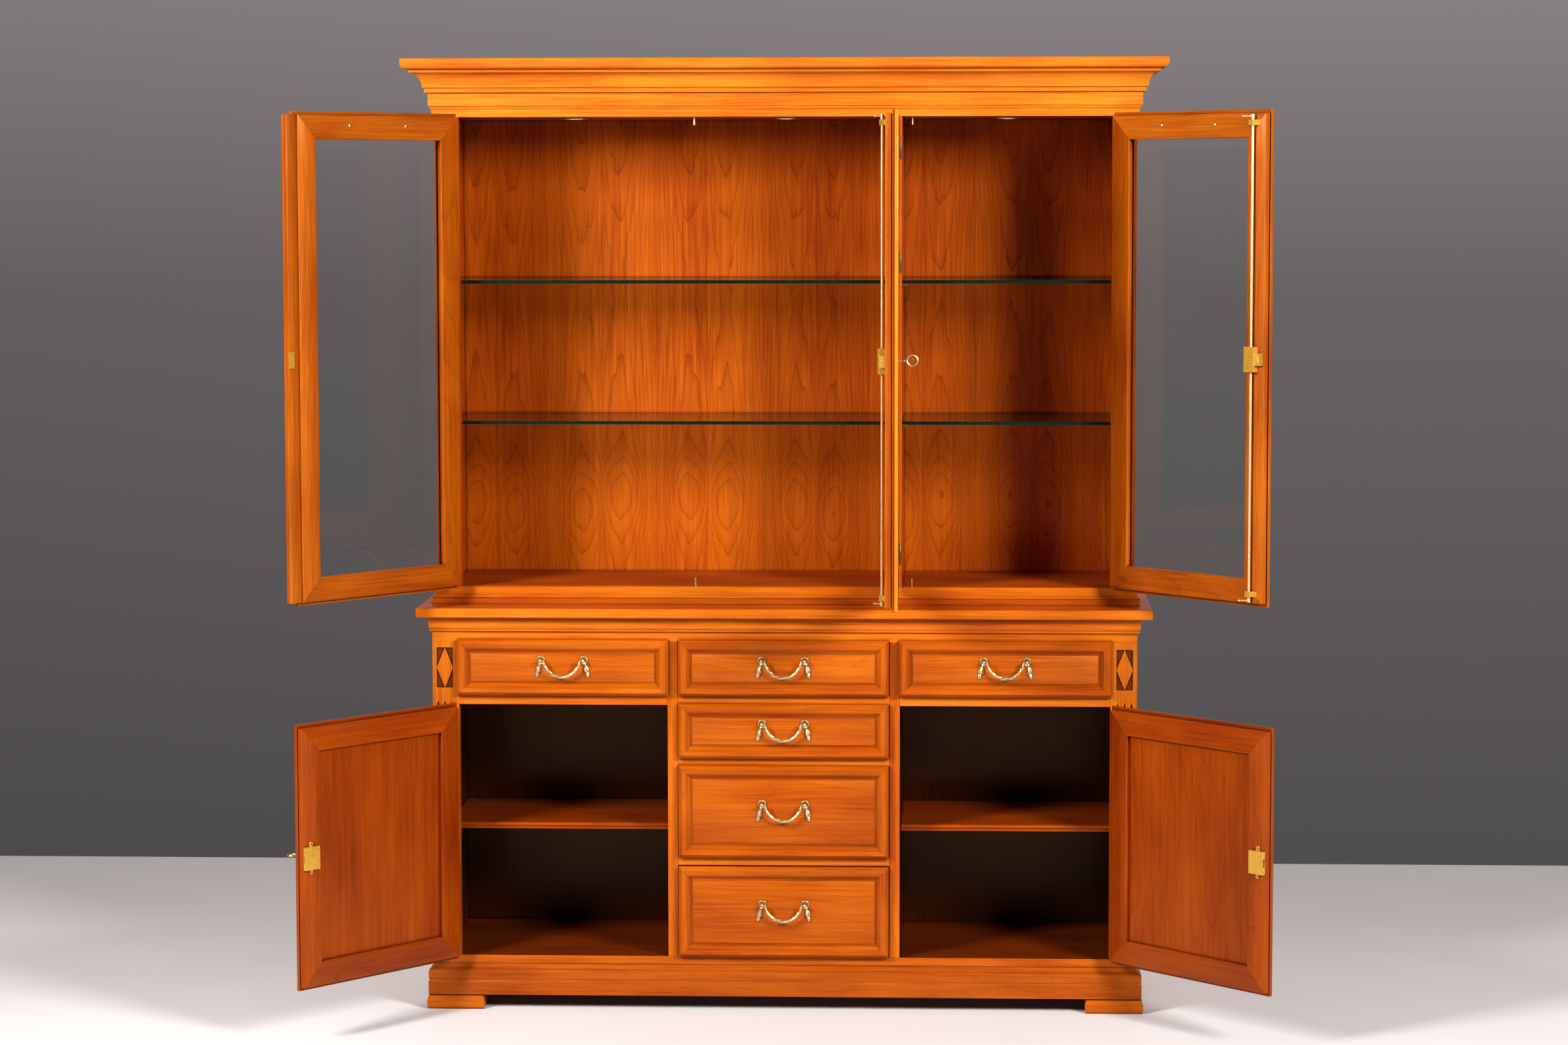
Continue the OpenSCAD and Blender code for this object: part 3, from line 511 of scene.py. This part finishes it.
def hang(on_right, pivot_x, pivot_y, angle):
    """A function from door place to world place, for a door that stands open at an angle.

    It takes millimetres, x from the hinge and y into the cabinet, and gives metres."""
    turn = math.radians(angle)
    c, s = math.cos(turn), math.sin(turn)

    def place(x, y, z):
        from_middle = -pivot_x + x * c + y * s
        deep = pivot_y - x * s + y * c
        return Vector(((-from_middle if on_right else from_middle) * MM, deep * MM, z * MM))

    return place


def straight(x, y, z):
    """Cabinet place in millimetres to world place in metres."""
    return Vector((x * MM, y * MM, z * MM))


def direction(place, vector):
    """The world direction of a direction in a door's or the cabinet's own place."""
    return (place(*vector) - place(0, 0, 0)).normalized()


def loft(bm, rows, closed=True):
    """Joins rows of points into a skin with a face at each end."""
    made = [[bm.verts.new(p) for p in row] for row in rows]
    count = len(made[0])
    for a, b in zip(made, made[1:]):
        for k in range(count if closed else count - 1):
            n = (k + 1) % count
            bm.faces.new((a[k], a[n], b[n], b[k]))
    bm.faces.new(made[0])
    bm.faces.new(list(reversed(made[-1])))
    return made


# Gap at each end of a mitred member in millimetres, and its steps lengthwise.
MITRE_GAP = 0.12
MEMBER_STEPS = 12


def mitred_member(name, side, corners, profile, place, body, seed, material=None, sharp=32):
    """One of four mitred members. corners(rect, inset) gives four corners; profile is a loop of
    (rect, inset, depth). side 0 is the bottom, 1 the closing side, 2 the top, 3 the hinge side."""
    following = (side + 1) % 4
    run = (corners("f", 0)[following] - corners("f", 0)[side]).normalized()
    bm = bmesh.new()
    layer = grain_layer(bm)
    rows = []
    for corner, gap in ((side, MITRE_GAP), (following, -MITRE_GAP)):
        row = []
        for rect, inset, depth in profile:
            p = corners(rect, inset)[corner] + run * gap
            row.append(place(p[0], depth, p[1]))
        rows.append(row)
    shares = [i / MEMBER_STEPS for i in range(MEMBER_STEPS + 1)]
    loft(bm, [[a.lerp(b, share) for a, b in zip(*rows)] for share in shares])
    along = direction(place, (run[0], 0, run[1]))
    face = direction(place, (0, 1, 0))
    set_grain(bm, layer, along, face.cross(along), board_shift(seed))
    return new_object(name, bm, material or cherry, body, sharp=sharp)


def rectangles(rects):
    """rects: name to (x0, x1, z0, z1). Gives a corner function with an inset."""

    def corners(rect, inset):
        x0, x1, z0, z1 = rects[rect]
        return [Vector((x0 + inset, z0 + inset)), Vector((x1 - inset, z0 + inset)),
                Vector((x1 - inset, z1 - inset)), Vector((x0 + inset, z1 - inset))]

    return corners


GRAIN_AXES = {
    "x": ((1, 0, 0), (0, 0, 1)),
    "y": ((0, 1, 0), (1, 0, 0)),
    "z": ((0, 0, 1), (1, 0, 0)),
}


def soft_board(name, x, y, z, along, body, seed, place=straight, material=None, r=0.8):
    """A board with arrises rounded by r. along is the grain direction as x, y or z."""
    bm = bmesh.new()
    layer = grain_layer(bm)
    bmesh.ops.create_cube(bm, size=1.0)
    for v in bm.verts:
        v.co = Vector(low + (share + 0.5) * (high - low) for share, (low, high) in zip(v.co, (x, y, z)))
    bmesh.ops.bevel(bm, geom=bm.edges[:], offset=r, segments=2, profile=0.5, affect="EDGES")
    for v in bm.verts:
        v.co = place(*v.co)
    grain, across = GRAIN_AXES[along]
    lies_flat = y[1] - y[0] >= min(z[1] - z[0], 60)
    if along == "x" and lies_flat:
        across = (0, 1, 0)
    set_grain(bm, layer, direction(place, grain), direction(place, across), board_shift(seed))
    return new_object(name, bm, material or cherry, body)


def lathe(bm, origin, profile, axes, steps=24):
    """Adds a turned shape to a bmesh: profile of (radius, distance) in millimetres along axes[2]."""
    u, v, w = axes
    turns = [2 * math.pi * i / steps for i in range(steps)]
    loft(bm, [[origin + (w * distance + (u * math.cos(a) + v * math.sin(a)) * max(radius, 0.01)) * MM
               for a in turns] for radius, distance in profile])


# ---------------------------------------------------------------- doors
def door_profile():
    """Section of a door frame: a thumb-moulded lip in front, a square layer behind."""
    inner_step = 1.5
    y = OUTER
    back = y + LIP_T
    rear = y + DOOR_T
    return (
        ("f", 0.4, back), ("f", 0.0, back - 0.5), ("f", 0.0, y + 6.2), ("f", 0.5, y + 4.4),
        ("f", 1.6, y + 2.6), ("f", 3.2, y + 1.2), ("f", 5.2, y + 0.3), ("f", 7.0, y),
        ("s", -14.0, y), ("s", -12.2, y + 0.4), ("s", -11.6, y + 1.6), ("s", -10.4, y + 1.7),
        ("s", -8.4, y + 2.4), ("s", -6.6, y + 4.2), ("s", -5.4, y + 6.4), ("s", -4.0, y + 7.2),
        ("s", -4.0, back), ("s", 0.0, back), ("s", 0.0, rear - inner_step),
        ("s", -inner_step * 0.4, rear - inner_step * 0.4), ("s", -inner_step, rear),
        ("b", 1.2, rear), ("b", 0.4, rear - 0.4), ("b", 0.0, rear - 1.2),
        ("b", 0.0, back + 2.4), ("b", 2.0, back + 2.0), ("b", 2.0, back),
    )


def door_frame(key, on_right, pivot, front, back, z, seed, material=None, closing=None):
    """Frame of a door. front and back are the x spans of its lip and of its thicker layer, closing
    is the material of the closing stile. Gives the door's place function."""
    place = hang(on_right, *pivot, OPEN[key])
    corners = rectangles({
        "f": (*front, z[0] - LIP, z[1] + LIP),
        "b": (*back, *z),
        "s": (back[0] + MEMBER, back[1] - MEMBER, z[0] + MEMBER, z[1] - MEMBER),
    })
    for k, name in enumerate(("bottom_rail", "closing_stile", "top_rail", "hinge_stile")):
        member = mitred_member(f"{key}_{name}", k, corners, door_profile(), place, BODY[key], seed * 10 + k,
                               closing if name == "closing_stile" and closing else material)
        if k == 0:
            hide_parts(f"{key}_frame")
    return place


OUTER_HINGE = (PIVOT_X, UPPER_PY)
MIDDLE_HINGE = (PIVOT_MID, UPPER_PY)
BASE_HINGE = (PIVOT_X, BASE_PY)
LOW_FRONT = (OUTER, FREE_LOW + 0.8)
LOW_BACK = (BACK_START, FREE_LOW)

place_lu = door_frame("lu", False, OUTER_HINGE, (OUTER, END_LU - 27), (BACK_START, STILE_LU), UPPER_Z, 1)
soft_board("lu_rebate_strip", (STILE_LU + 0.2, END_LU), (OUTER + 15.5, OUTER + 24.8), UPPER_Z, "z",
           BODY["lu"], 15, place_lu, r=1.2)
soft_board("lu_rebate_back", (END_LU - 26.7, END_LU - 0.4), (OUTER + 8.5, OUTER + 15.4), UPPER_Z, "z",
           BODY["lu"], 16, place_lu)
place_c = door_frame("c", True, MIDDLE_HINGE, (OUTER, FREE_C), (START_C, FREE_C), UPPER_Z, 2,
                     closing=closing_wood)
soft_board("c_cover_strip", (FREE_C + 0.15, FREE_C + 25.5), (OUTER, OUTER + 7.8),
           (UPPER_Z[0] - LIP + 3.5, UPPER_Z[1] + LIP), "z", BODY["c"], 25, place_c, strip_wood, r=2.2)
place_ru = door_frame("ru", True, OUTER_HINGE, (OUTER, FREE_RU + 2), (BACK_START, FREE_RU), UPPER_Z, 3)
place_ll = door_frame("ll", False, BASE_HINGE, LOW_FRONT, LOW_BACK, LOWER_Z, 4, low_door_wood)
place_rl = door_frame("rl", True, BASE_HINGE, LOW_FRONT, LOW_BACK, LOWER_Z, 5, low_door_wood)


def door_panel(key, place, seed):
    """Sunk panel of a lower door: flat inside, raised field outside, upright grain."""
    x0, x1 = BACK_START + MEMBER, FREE_LOW - MEMBER
    z0, z1 = LOWER_Z[0] + MEMBER, LOWER_Z[1] - MEMBER
    corners = rectangles({"panel": (x0, x1, z0, z1)})
    # Inset and depth of each step, from the inner flat over the edge to the raised field outside.
    section = ((14.0, 21.0), (0.1, 21.0), (0.1, 15.2), (6.0, 15.0), (14.0, 11.0), (22.0, 8.2),
               (24.0, 7.2), (30.0, 7.0))
    bm = bmesh.new()
    layer = grain_layer(bm)
    loft(bm, [[place(x, depth, z) for x, z in corners("panel", inset)] for inset, depth in section])
    set_grain(bm, layer, (0, 0, 1), direction(place, (1, 0, 0)), board_shift(seed))
    piece = new_object(f"{key}_sunk_panel", bm, low_door_wood, BODY[key])
    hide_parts(f"{key}_panel")


door_panel("ll", place_ll, 44)
door_panel("rl", place_rl, 55)


def rail_screw(key, number, place, x, z):
    """A small brass screw head on the inner face of an upper door's top rail."""
    inner = OUTER + DOOR_T
    axes = [direction(place, way) for way in ((1, 0, 0), (0, 0, 1), (0, 1, 0))]
    head = ((3.6, -0.4), (3.6, 0.3), (3.2, 0.9), (2.0, 1.4), (0.4, 1.5))
    bm = bmesh.new()
    lathe(bm, place(x, inner, z), head, axes, steps=28)
    new_object(f"{key}_rail_screw_{number}", bm, brass, BODY[key])


for key, place, level, places in (("lu", place_lu, 1978.0, (171.0, 338.0)),
                                  ("ru", place_ru, 1977.0, (163.0, 322.0))):
    for number, x in enumerate(places, 1):
        rail_screw(key, number, place, x, level)


# ---------------------------------------------------------------- drawers
def drawer_profile():
    """Section of a drawer's moulded frame: distance in and height to the front."""
    w = DRAWER_FRAME
    return [
        (0.2, 0.0), (0.0, 0.4), (0.0, 12.2), (0.4, 13.0), (6.4, 19.1), (7.1, 19.5), (8.8, 19.5),
        (9.6, 19.3), (w - 14.4, 17.1), (w - 13.6, 17.0), (w - 13.2, 16.4), (w - 12.0, 16.4),
        (w - 11.4, 15.9), (w - 4.9, 9.2), (w - 4.3, 8.8), (w - 3.5, 6.9), (w - 0.6, 6.8), (w, 7.4),
        (w, 0.0),
    ]


def drawer_opening(x0, x1):
    """The x span of the opening behind a drawer front: left bay, right bay or the stack."""
    if x1 < 0:
        return -OPEN_HW, -BAY_OUT
    if x0 > 0:
        return BAY_OUT, OPEN_HW
    return -BAY_IN, BAY_IN


def drawer_front(index):
    """Four mitred members with a flat panel between them."""
    x0, x1, z0, z1 = DRAWERS[index]
    key = DRAWER_NAMES[index]
    corners = rectangles({"f": (x0, x1, z0, z1)})
    profile = [("f", inset, FRONT_BACK - height) for inset, height in drawer_profile()]
    for k, name in enumerate(("bottom", "right", "top", "left")):
        member = mitred_member(f"{key}_front_{name}", k, corners, profile, straight, f"{key}_drawer",
                               200 + index * 10 + k, drawer_wood, sharp=12)
        if k == 0:
            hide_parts(f"drawer_{index + 1}")
    inset = DRAWER_FRAME + 0.2
    soft_board(f"{key}_front_panel", (x0 + inset, x1 - inset), (PANEL_FACE, FRONT_BACK),
               (z0 + inset, z1 - inset), "x", f"{key}_drawer", 250 + index, material=drawer_wood, r=0.3)


def drawer_box(index):
    """Two sides, a back and a bottom board behind the front."""
    x0, x1, z0, z1 = DRAWERS[index]
    key = DRAWER_NAMES[index]
    left, right = drawer_opening(x0, x1)
    left, right = left + BOX_GAP, right - BOX_GAP
    height = (z0 + 3.5, z1 - 22)
    between = (left + BOX_WALL + 0.1, right - BOX_WALL - 0.1)
    length = (-0.4, DRAWER_DEPTH)
    inner_back = DRAWER_DEPTH - BOX_WALL
    boards = {
        "side_left": ((left, left + BOX_WALL), length, height, "y"),
        "side_right": ((right - BOX_WALL, right), length, height, "y"),
        "back": (between, (inner_back, DRAWER_DEPTH), height, "x"),
        "bottom_board": (between, (length[0], inner_back - 0.1), (height[0] + 6, height[0] + 12), "x"),
    }
    for name, (x, y, z, along) in boards.items():
        soft_board(f"{key}_{name}", x, y, z, along, f"{key}_drawer", 300 + index * 7 + len(name),
                   material=pale, r=1.0)


for index in range(len(DRAWERS)):
    drawer_front(index)
    drawer_box(index)


# ---------------------------------------------------------------- swag handles
# The swag: half its span, how far it sags, its steps along and round, and its twisted flutes.
SWAG_HALF = HANDLE_HALF - 7.4
SWAG_SAG = 36.5
SWAG_STEPS = 96
SWAG_SIDES = 40
FLUTES = 5
FLUTE_TURNS = 7.0
FLUTE_DEPTH = 0.20
# Steps round a tassel.
TASSEL_STEPS = 13

X, Y, Z = Vector((1, 0, 0)), Vector((0, 1, 0)), Vector((0, 0, 1))


def fluted_tube(bm, path, radius_at):
    """A tube with twisted flutes along a path of points in one upright plane."""
    rows = []
    last = len(path) - 1
    for i, point in enumerate(path):
        tangent = (path[min(i + 1, last)] - path[max(i - 1, 0)]).normalized()
        up = tangent.cross(-Y).normalized()
        side = up.cross(tangent).normalized()
        share = i / last
        row = []
        for k in range(SWAG_SIDES):
            angle = 2 * math.pi * k / SWAG_SIDES
            groove = 0.5 - 0.5 * math.cos(FLUTES * angle + FLUTE_TURNS * share * 2 * math.pi)
            radius = radius_at(share) * (1.0 - FLUTE_DEPTH * groove)
            row.append(point + (side * math.cos(angle) + up * math.sin(angle)) * radius)
        rows.append(row)
    loft(bm, rows)


def leaf_drop(bm, origin, tilt):
    """A tassel of overlapping leaves hanging from a handle post, tilted outwards."""
    down = Vector((math.sin(tilt), 0, -math.cos(tilt)))
    across = Vector((math.cos(tilt), 0, math.sin(tilt)))
    # Distance down from the post and half width.
    outline = ((4.0, 2.6), (7.0, 3.4), (9.5, 4.0), (10.8, 3.0), (12.6, 4.2), (17.0, 5.4), (22.0, 6.1),
               (26.0, 6.2), (28.0, 5.6), (29.0, 3.6), (30.5, 3.9), (34.0, 4.4), (37.5, 4.2), (39.6, 3.2),
               (40.8, 1.8), (41.0, 0.6))
    rows = []
    for along, half in outline:
        row = []
        for k in range(TASSEL_STEPS + 1):
            a = math.pi * k / TASSEL_STEPS
            ridge = 1.0 + 0.16 * math.cos(8 * a + along * 0.12)
            row.append(origin + down * along * MM + across * (half * math.cos(a) * MM)
                       - Y * ((half * 0.8 * math.sin(a) * ridge + 0.4) * MM))
        rows.append(row)
    made = loft(bm, rows, closed=False)
    for above, below in zip(made, made[1:]):
        bm.faces.new((above[0], below[0], below[-1], above[-1]))


# Rosette and stem, then the knob on them, as radius and distance from the drawer's panel.
ROSETTE = (
    (9.3, 0.0), (9.5, 1.4), (9.2, 2.6), (8.3, 3.3), (7.3, 2.9), (6.7, 1.4), (5.4, 1.0), (4.6, 1.8),
    (3.6, 3.4), (3.0, 5.2), (2.8, 12.6), (3.0, 13.4),
)
KNOB_RADIUS = 4.0
KNOB_OUT = 17.0
KNOB_STEPS = 12
KNOB_TURNS = [math.pi * i / KNOB_STEPS for i in range(KNOB_STEPS + 1)]
KNOB = [(KNOB_RADIUS * math.sin(a), KNOB_OUT - KNOB_RADIUS * math.cos(a)) for a in KNOB_TURNS]
SWAG_PIN = ((2.3, -0.6), (2.3, 1.6), (1.2, 2.0), (1.2, 5.6))
TASSEL_TILT = math.radians(15)


def handle_posts(index, x, z):
    """The pair of posts: each has a rosette, a knob and a tassel."""
    key = DRAWER_NAMES[index]
    bm = bmesh.new()
    for hand in (-1, 1):
        foot = straight(x + hand * HANDLE_HALF, PANEL_FACE, z)
        lathe(bm, foot, ROSETTE, (X, Z, -Y), steps=36)
        lathe(bm, foot, KNOB, (X, Z, -Y))
        leaf_drop(bm, foot - Y * 0.2 * MM, hand * TASSEL_TILT)
    posts = new_object(f"{key}_handle_posts", bm, brass, f"{key}_drawer")
    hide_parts(f"posts_{index + 1}")


def swag_radius(share):
    """Half thickness at a share of the swag's length: full in the middle, with a ring at each end."""
    belly = math.sin(math.pi * share) ** 0.9
    rings = sum(0.55 * math.exp(-(((share - centre) / 0.012) ** 2)) for centre in (0.07, 0.93))
    return (2.4 + 1.9 * belly + rings) * MM


def handle_swag(index, x, z):
    """The swag that hangs in an arc between the posts, with a pin at each end."""
    key = DRAWER_NAMES[index]
    bend = (SWAG_HALF ** 2 + SWAG_SAG ** 2) / (2 * SWAG_SAG)
    half = math.asin(SWAG_HALF / bend)
    path = []
    for i in range(SWAG_STEPS + 1):
        a = -half + 2 * half * i / SWAG_STEPS
        path.append(straight(x + bend * math.sin(a), SWAG_Y, z + bend - SWAG_SAG - bend * math.cos(a)))
    bm = bmesh.new()
    fluted_tube(bm, path, swag_radius)
    for hand in (-1, 1):
        pin = straight(x + hand * (SWAG_HALF - 0.4), SWAG_Y, z)
        lathe(bm, pin, SWAG_PIN, (Y, Z, X * hand), steps=20)
    bail = new_object(f"{key}_handle_swag", bm, brass, f"{key}_bail")
    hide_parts(f"bail_{index + 1}")


for index, (x0, x1, z0, z1) in enumerate(DRAWERS):
    middle = ((x0 + x1) / 2, (z0 + z1) / 2 + HANDLE_UP)
    handle_posts(index, *middle)
    handle_swag(index, *middle)


# ---------------------------------------------------------------- carried-over CAD nodes
def dress(names, material, bevel):
    """Gives CAD nodes their material and, unless bevel is 0, edges eased by that many millimetres."""
    for name in names:
        node = nodes[name]
        node.data.materials.clear()
        node.data.materials.append(material)
        if bevel:
            weld = node.modifiers.new("weld", "WELD")
            weld.merge_threshold = 0.00001
            eased = node.modifiers.new("eased", "BEVEL")
            eased.width = bevel * MM
            eased.segments = 2
            eased.limit_method = "ANGLE"
            eased.angle_limit = math.radians(40)
            eased.harden_normals = True
            eased.use_clamp_overlap = True


# Material, eased edge in millimetres, and the nodes that have them.
FINISHES = (
    (feet_wood, 1.0, ("feet",)),
    (plinth_wood, 0.5, ("plinth",)),
    (shelf_wood, 0.8, ("cupboard_shelves",)),
    (floor_wood, 0.8, ("base_floor",)),
    (counter_wood, 0.0, ("counter",)),
    (side_wood, 0.8, ("base_sides",)),
    (partition_wood, 0.8, ("base_partitions",)),
    (pilaster_wood, 0.3, ("pilasters",)),
    (upright_wood, 0.5, ("corner_posts",)),
    (upright_wood, 0.8, ("upper_sides", "divider")),
    (rail_wood, 0.8, ("face_rails",)),
    (upper_board_wood, 0.8, ("upper_boards",)),
    (mould_wood, 0.3, ("counter_moulding",)),
    (upper_plinth_wood, 0.3, ("upper_plinth",)),
    (cornice_wood, 0.4, ("cornice",)),
    (veneer, 0.5, ("back_panels",)),
    (runner_wood, 0.6, ("drawer_runners",)),
    (brass, 0.0, ("pins", "c_key", "ll_key")),
    (bronze, 0.2, ("hinges",)),
    (lock_brass, 0.3, ("c_lock", "ru_lock", "ll_lock", "rl_lock", "lu_strike", "ll_bolt")),
    (rod_brass, 0.0, ("c_rods", "ru_rods")),
    (steel, 0.3, ("spotlights",)),
)
for material, bevel, names in FINISHES:
    dress(names, material, bevel)
for name in ("counter", "pins", "c_rods", "ru_rods", "c_key", "ll_key"):
    nodes[name].data.shade_smooth()
    nodes[name].data.set_sharp_from_angle(angle=math.radians(30))


# Colour seen in the cut edge of a pane.
GLASS_DEPTH = (0.002, 0.016, 0.010, 1.0)


def mixed(t, factor, first, second):
    """Two shaders mixed by a number or a socket."""
    node = t.add("ShaderNodeMixShader")
    t.put(node.inputs[0], factor)
    t.link(first, node.inputs[1])
    t.link(second, node.inputs[2])
    return node.outputs[0]


def glass(name, tint, thin_way):
    """Clear float glass: its faces let light straight through, its cut edges show the green depth.

    thin_way is the direction across the pane."""
    material = bpy.data.materials.new(name)
    material.use_nodes = True
    material.node_tree.nodes.clear()
    t = Tree(material.node_tree)
    coords = t.add("ShaderNodeTexCoord")
    clear = t.add("ShaderNodeBsdfTransparent")
    gloss = t.add("ShaderNodeBsdfGlossy")
    smear = t.noise(coords.outputs["Object"], scale=7.0, detail=4.0)
    t.link(t.mix(t.remap(smear, 0.35, 0.75), tint, tuple(c * 0.985 for c in tint)), clear.inputs[0])
    t.link(t.remap(smear, 0.3, 0.8, 0.01, 0.045), gloss.inputs["Roughness"])
    grazing = t.math("POWER", t.add("ShaderNodeLayerWeight").outputs["Facing"], 5.0)
    reflected = t.math("MULTIPLY_ADD", grazing, 0.9, 0.03)
    pane = mixed(t, reflected, clear.outputs[0], gloss.outputs[0])
    depth = t.add("ShaderNodeBsdfDiffuse")
    depth.inputs[0].default_value = GLASS_DEPTH
    shine = t.add("ShaderNodeBsdfGlossy")
    shine.inputs["Roughness"].default_value = 0.15
    edge = mixed(t, 0.12, depth.outputs[0], shine.outputs[0])
    facing = t.add("ShaderNodeVectorMath", operation="DOT_PRODUCT")
    t.link(coords.outputs["Normal"], facing.inputs[0])
    facing.inputs[1].default_value = thin_way
    on_face = t.math("GREATER_THAN", t.math("ABSOLUTE", facing.outputs["Value"]), 0.7)
    out = t.add("ShaderNodeOutputMaterial")
    t.link(mixed(t, on_face, edge, pane), out.inputs[0])
    return material


dress(["glass_shelves"], glass("shelf_glass", (0.84, 0.90, 0.86), (0, 0, 1)), 0.0)
for key, place in (("lu", place_lu), ("c", place_c), ("ru", place_ru)):
    across = tuple(direction(place, (0, 1, 0)))
    dress([f"{key}_glass"], glass(f"{key}_pane", (0.97, 0.985, 0.975), across), 0.0)


# ---------------------------------------------------------------- studio
# The floor runs this far to the front and sides, and ends here behind, in metres.
FLOOR_REACH = 14
FLOOR_BACK = 1.94


def floor_material():
    """Matt, slightly cloudy studio floor."""
    colour = (0.64, 0.605, 0.595)
    material = bpy.data.materials.new("studio_floor")
    material.use_nodes = True
    t = Tree(material.node_tree)
    shader = material.node_tree.nodes["Principled BSDF"]
    coords = t.add("ShaderNodeTexCoord").outputs["Object"]
    cloudy = t.remap(t.noise(coords, scale=1.3, detail=5.0), 0.3, 0.7)
    t.link(t.mix(cloudy, colour, tuple(c * 0.94 for c in colour)), shader.inputs["Base Color"])
    shader.inputs["Roughness"].default_value = 0.75
    return material


def floor():
    """One flat face that ends behind the cabinet, where the backdrop begins."""
    bm = bmesh.new()
    for x, y in ((-1, -FLOOR_REACH), (1, -FLOOR_REACH), (1, FLOOR_BACK), (-1, FLOOR_BACK)):
        bm.verts.new((x * FLOOR_REACH, y, 0))
    bm.faces.new(bm.verts)
    mesh = bpy.data.meshes.new("floor")
    bm.to_mesh(mesh)
    bm.free()
    piece = bpy.data.objects.new("floor", mesh)
    scene.collection.objects.link(piece)
    mesh.materials.append(floor_material())


# Backdrop grey by height: share of the way up and colour.
BACKDROP = (
    (0.0, (0.086, 0.081, 0.084)),
    (0.45, (0.144, 0.130, 0.134)),
    (1.0, (0.37, 0.337, 0.352)),
)


def backdrop():
    """A grey that lightens upwards and to the right, and is dark on the camera's side."""
    world = bpy.data.worlds.new("studio")
    scene.world = world
    world.use_nodes = True
    t = Tree(world.node_tree)
    x, y, z = t.split(t.add("ShaderNodeTexCoord").outputs["Generated"])
    shade = t.ramp(t.remap(z, -0.18, 0.16), BACKDROP)
    behind = t.remap(y, -0.1, 0.8, 0.06, 1.0)
    level = t.math("MULTIPLY", behind, t.math("MULTIPLY_ADD", x, 0.4, 1.0))
    shade = t.mix(1.0, shade, t.mix(level, (0, 0, 0), (1, 1, 1)), "MULTIPLY")
    t.link(shade, world.node_tree.nodes["Background"].inputs[0])
    world.node_tree.nodes["Background"].inputs[1].default_value = 1.0


def softbox(name, place, aim, size, power, glossy=True):
    """A soft rectangular lamp that the camera doesn't see. It shows in reflections only if glossy."""
    data = bpy.data.lights.new(name, "AREA")
    data.shape = "RECTANGLE"
    data.size, data.size_y = size
    data.energy = power
    lamp = bpy.data.objects.new(name, data)
    scene.collection.objects.link(lamp)
    lamp.location = place
    lamp.rotation_euler = (Vector(aim) - Vector(place)).to_track_quat("-Z", "Y").to_euler()
    lamp.visible_camera = False
    lamp.visible_glossy = glossy


floor()
backdrop()
softbox("key_left", (-2.77, -3.15, 2.9), (0, 0, 1.1), (1.0, 1.4), 275)
softbox("key_right", (3.6, -4.2, 3.2), (0, 0, 1.1), (1.5, 1.5), 440)
softbox("back_fill", (0, 5.5, 3.2), (0, 0, 1.2), (4.0, 2.5), 60, glossy=False)


# The photograph's camera, solved from the cabinet's corners: place in metres, turn in radians, lens
# and sensor width in millimetres.
CAMERA_PLACE = (0.379965, -8.579379, 1.844306)
CAMERA_YAW = -0.044075
CAMERA_PITCH = -0.086306
CAMERA_ROLL = -0.001312
CAMERA_LENS = 88.976
CAMERA_SENSOR = 36.0


def camera():
    """Looks along Y, turned by the yaw, then raised by the pitch and tipped by the roll."""
    data = bpy.data.cameras.new("camera")
    piece = bpy.data.objects.new("camera", data)
    scene.collection.objects.link(piece)
    level_share = math.cos(CAMERA_PITCH)
    forward = Vector((math.sin(CAMERA_YAW) * level_share, math.cos(CAMERA_YAW) * level_share,
                      math.sin(CAMERA_PITCH)))
    right = Vector((math.cos(CAMERA_YAW), -math.sin(CAMERA_YAW), 0.0))
    up = right.cross(forward)
    level = right * math.cos(CAMERA_ROLL) + up * math.sin(CAMERA_ROLL)
    rise = up * math.cos(CAMERA_ROLL) - right * math.sin(CAMERA_ROLL)
    turn = Matrix((level, rise, -forward)).transposed()
    piece.matrix_world = Matrix.Translation(CAMERA_PLACE) @ turn.to_4x4()
    data.sensor_width = CAMERA_SENSOR
    data.lens = CAMERA_LENS
    data.clip_end = 60.0
    scene.camera = piece


camera()
scene.view_settings.view_transform = "Standard"
scene.view_settings.look = "Medium High Contrast"
